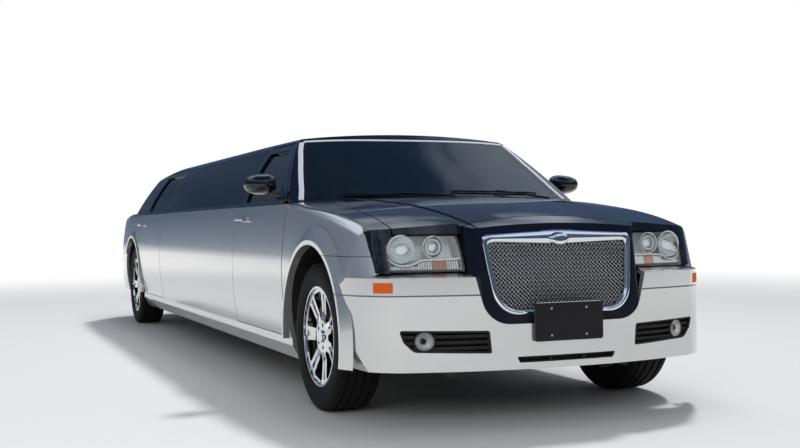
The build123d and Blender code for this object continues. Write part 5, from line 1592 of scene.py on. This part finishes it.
floor_mesh = bpy.data.meshes.new("floor")
corners = [(x * floor_half, y * floor_half, 0) for x, y in ((-1, -1), (1, -1), (1, 1), (-1, 1))]
floor_mesh.from_pydata(corners, [], [(0, 1, 2, 3)])
floor = bpy.data.objects.new("floor", floor_mesh)
scene.collection.objects.link(floor)
floor_finish, tree, shader = new_material("studio_floor", floor_colour, 0.6)
where = add_node(tree, "TexCoord").outputs["Object"]
away = add_node(tree, "VectorMath", {"operation": "LENGTH"}, i0=where).outputs["Value"]
far = add_node(tree, "MapRange", {"interpolation_type": "SMOOTHSTEP"}, i0=away, i1=fade_start,
               i2=fade_end).outputs[0]
seen, path = seen_rays(tree)
glow = add_node(tree, "Emission", Strength=1.0)
mixed = add_node(tree, "MixShader", i0=maths(tree, "MULTIPLY", far, seen), i1=shader.outputs[0],
                 i2=glow.outputs[0])
feed(tree, tree.nodes["Material Output"], Surface=mixed.outputs[0])
floor.data.materials.append(floor_finish)
print("floor fades from", fade_start, "to", fade_end, "m")

# %% [markdown]
# The world is white to the camera and pale low down in mirrors. Higher up, mirrors see bands of dark and
# pale blue: chrome and black lacquer need something darker to show their shape. A noise lets the edge of
# the dark band wander a little, because what stands round a car is uneven.

# %% World
world = bpy.data.worlds.new("studio")
scene.world = world
world.use_nodes = True
tree = world.node_tree
seen, path = seen_rays(tree)
direction = add_node(tree, "TexCoord").outputs["Generated"]
look = add_node(tree, "SeparateXYZ", Vector=direction).outputs["Z"]
skyline = add_node(tree, "TexNoise", Vector=direction, Scale=7.0, Detail=4.0).outputs["Fac"]
sway = maths(tree, "MULTIPLY", maths(tree, "SUBTRACT", skyline, 0.5), 0.55)
# No sway at the horizon, and all of it a fifth of the way up
swaying = maths(tree, "MINIMUM", maths(tree, "MULTIPLY", maths(tree, "MAXIMUM", look, 0.0), 5.0), 1.0)
sway = maths(tree, "MULTIPLY", sway, swaying)
ramp = add_node(tree, "ValToRGB", i0=maths(tree, "ADD", maths(tree, "ADD", look, 0.1), sway))
stops = ramp.color_ramp.elements
mirrored_sky = ((0.085, (1.0, 1.0, 1.0)), (0.105, (0.17, 0.21, 0.28)), (0.22, (0.05, 0.08, 0.14)),
                (0.54, (0.08, 0.12, 0.20)), (0.68, (0.80, 0.89, 1.0)), (0.84, (0.60, 0.72, 0.95)),
                (0.93, (0.08, 0.13, 0.28)), (1.0, (0.04, 0.08, 0.20)))
while len(stops) < len(mirrored_sky):
    stops.new(0.5)
for stop, (place, colour) in zip(stops, mirrored_sky):
    stop.position = place
    stop.color = (*colour, 1)
mirrored = maths(tree, "SUBTRACT", 1.0, path["Is Transmission Ray"])
mirrored = maths(tree, "MULTIPLY", path["Is Glossy Ray"], mirrored)
light_grey = (0.36, 0.37, 0.39)
backdrop = blend(tree, mirrored, (1, 1, 1), ramp.outputs["Color"])
feed(tree, tree.nodes["Background"], Color=blend(tree, seen, light_grey, backdrop))
print("mirrored sky:", len(mirrored_sky), "bands")

# %% [markdown]
# Two large area lamps give soft light from above and from ahead, and a sun with a wide disc gives the
# shadow a direction. Mirrors and glass don't see them, so no lamp shows as a bright shape in the paint.

# %% Lamps
# Name, place, aim, width, depth, watts
lamps = (
    ("overhead", (0.6, 0.4, 5.2), (0.6, 0.41, 0), 2.2, 7.5, 120),
    ("front_fill", (-5.0, -9.0, 3.6), (0, -1.5, 0.6), 5.0, 3.0, 190),
)
for name, place, aim, width, depth, watts in lamps:
    data = bpy.data.lights.new(name, "AREA")
    data.shape = "RECTANGLE"
    data.size = width
    data.size_y = depth
    data.energy = watts
    lamp = bpy.data.objects.new(name, data)
    lamp.location = place
    lamp.rotation_euler = (Vector(aim) - Vector(place)).to_track_quat("-Z", "Y").to_euler()
    lamp.visible_glossy = False
    lamp.visible_transmission = False
    scene.collection.objects.link(lamp)
sun_from = Vector((3.4, 4.0, 7.0))
sun = bpy.data.objects.new("sun", bpy.data.lights.new("sun", "SUN"))
sun.data.energy = 2.4
sun.data.angle = radians(6)
sun.rotation_euler = (-sun_from).to_track_quat("-Z", "Y").to_euler()
sun.visible_glossy = False
sun.visible_transmission = False
scene.collection.objects.link(sun)
print("studio with", len(lamps) + 1, "lamps")
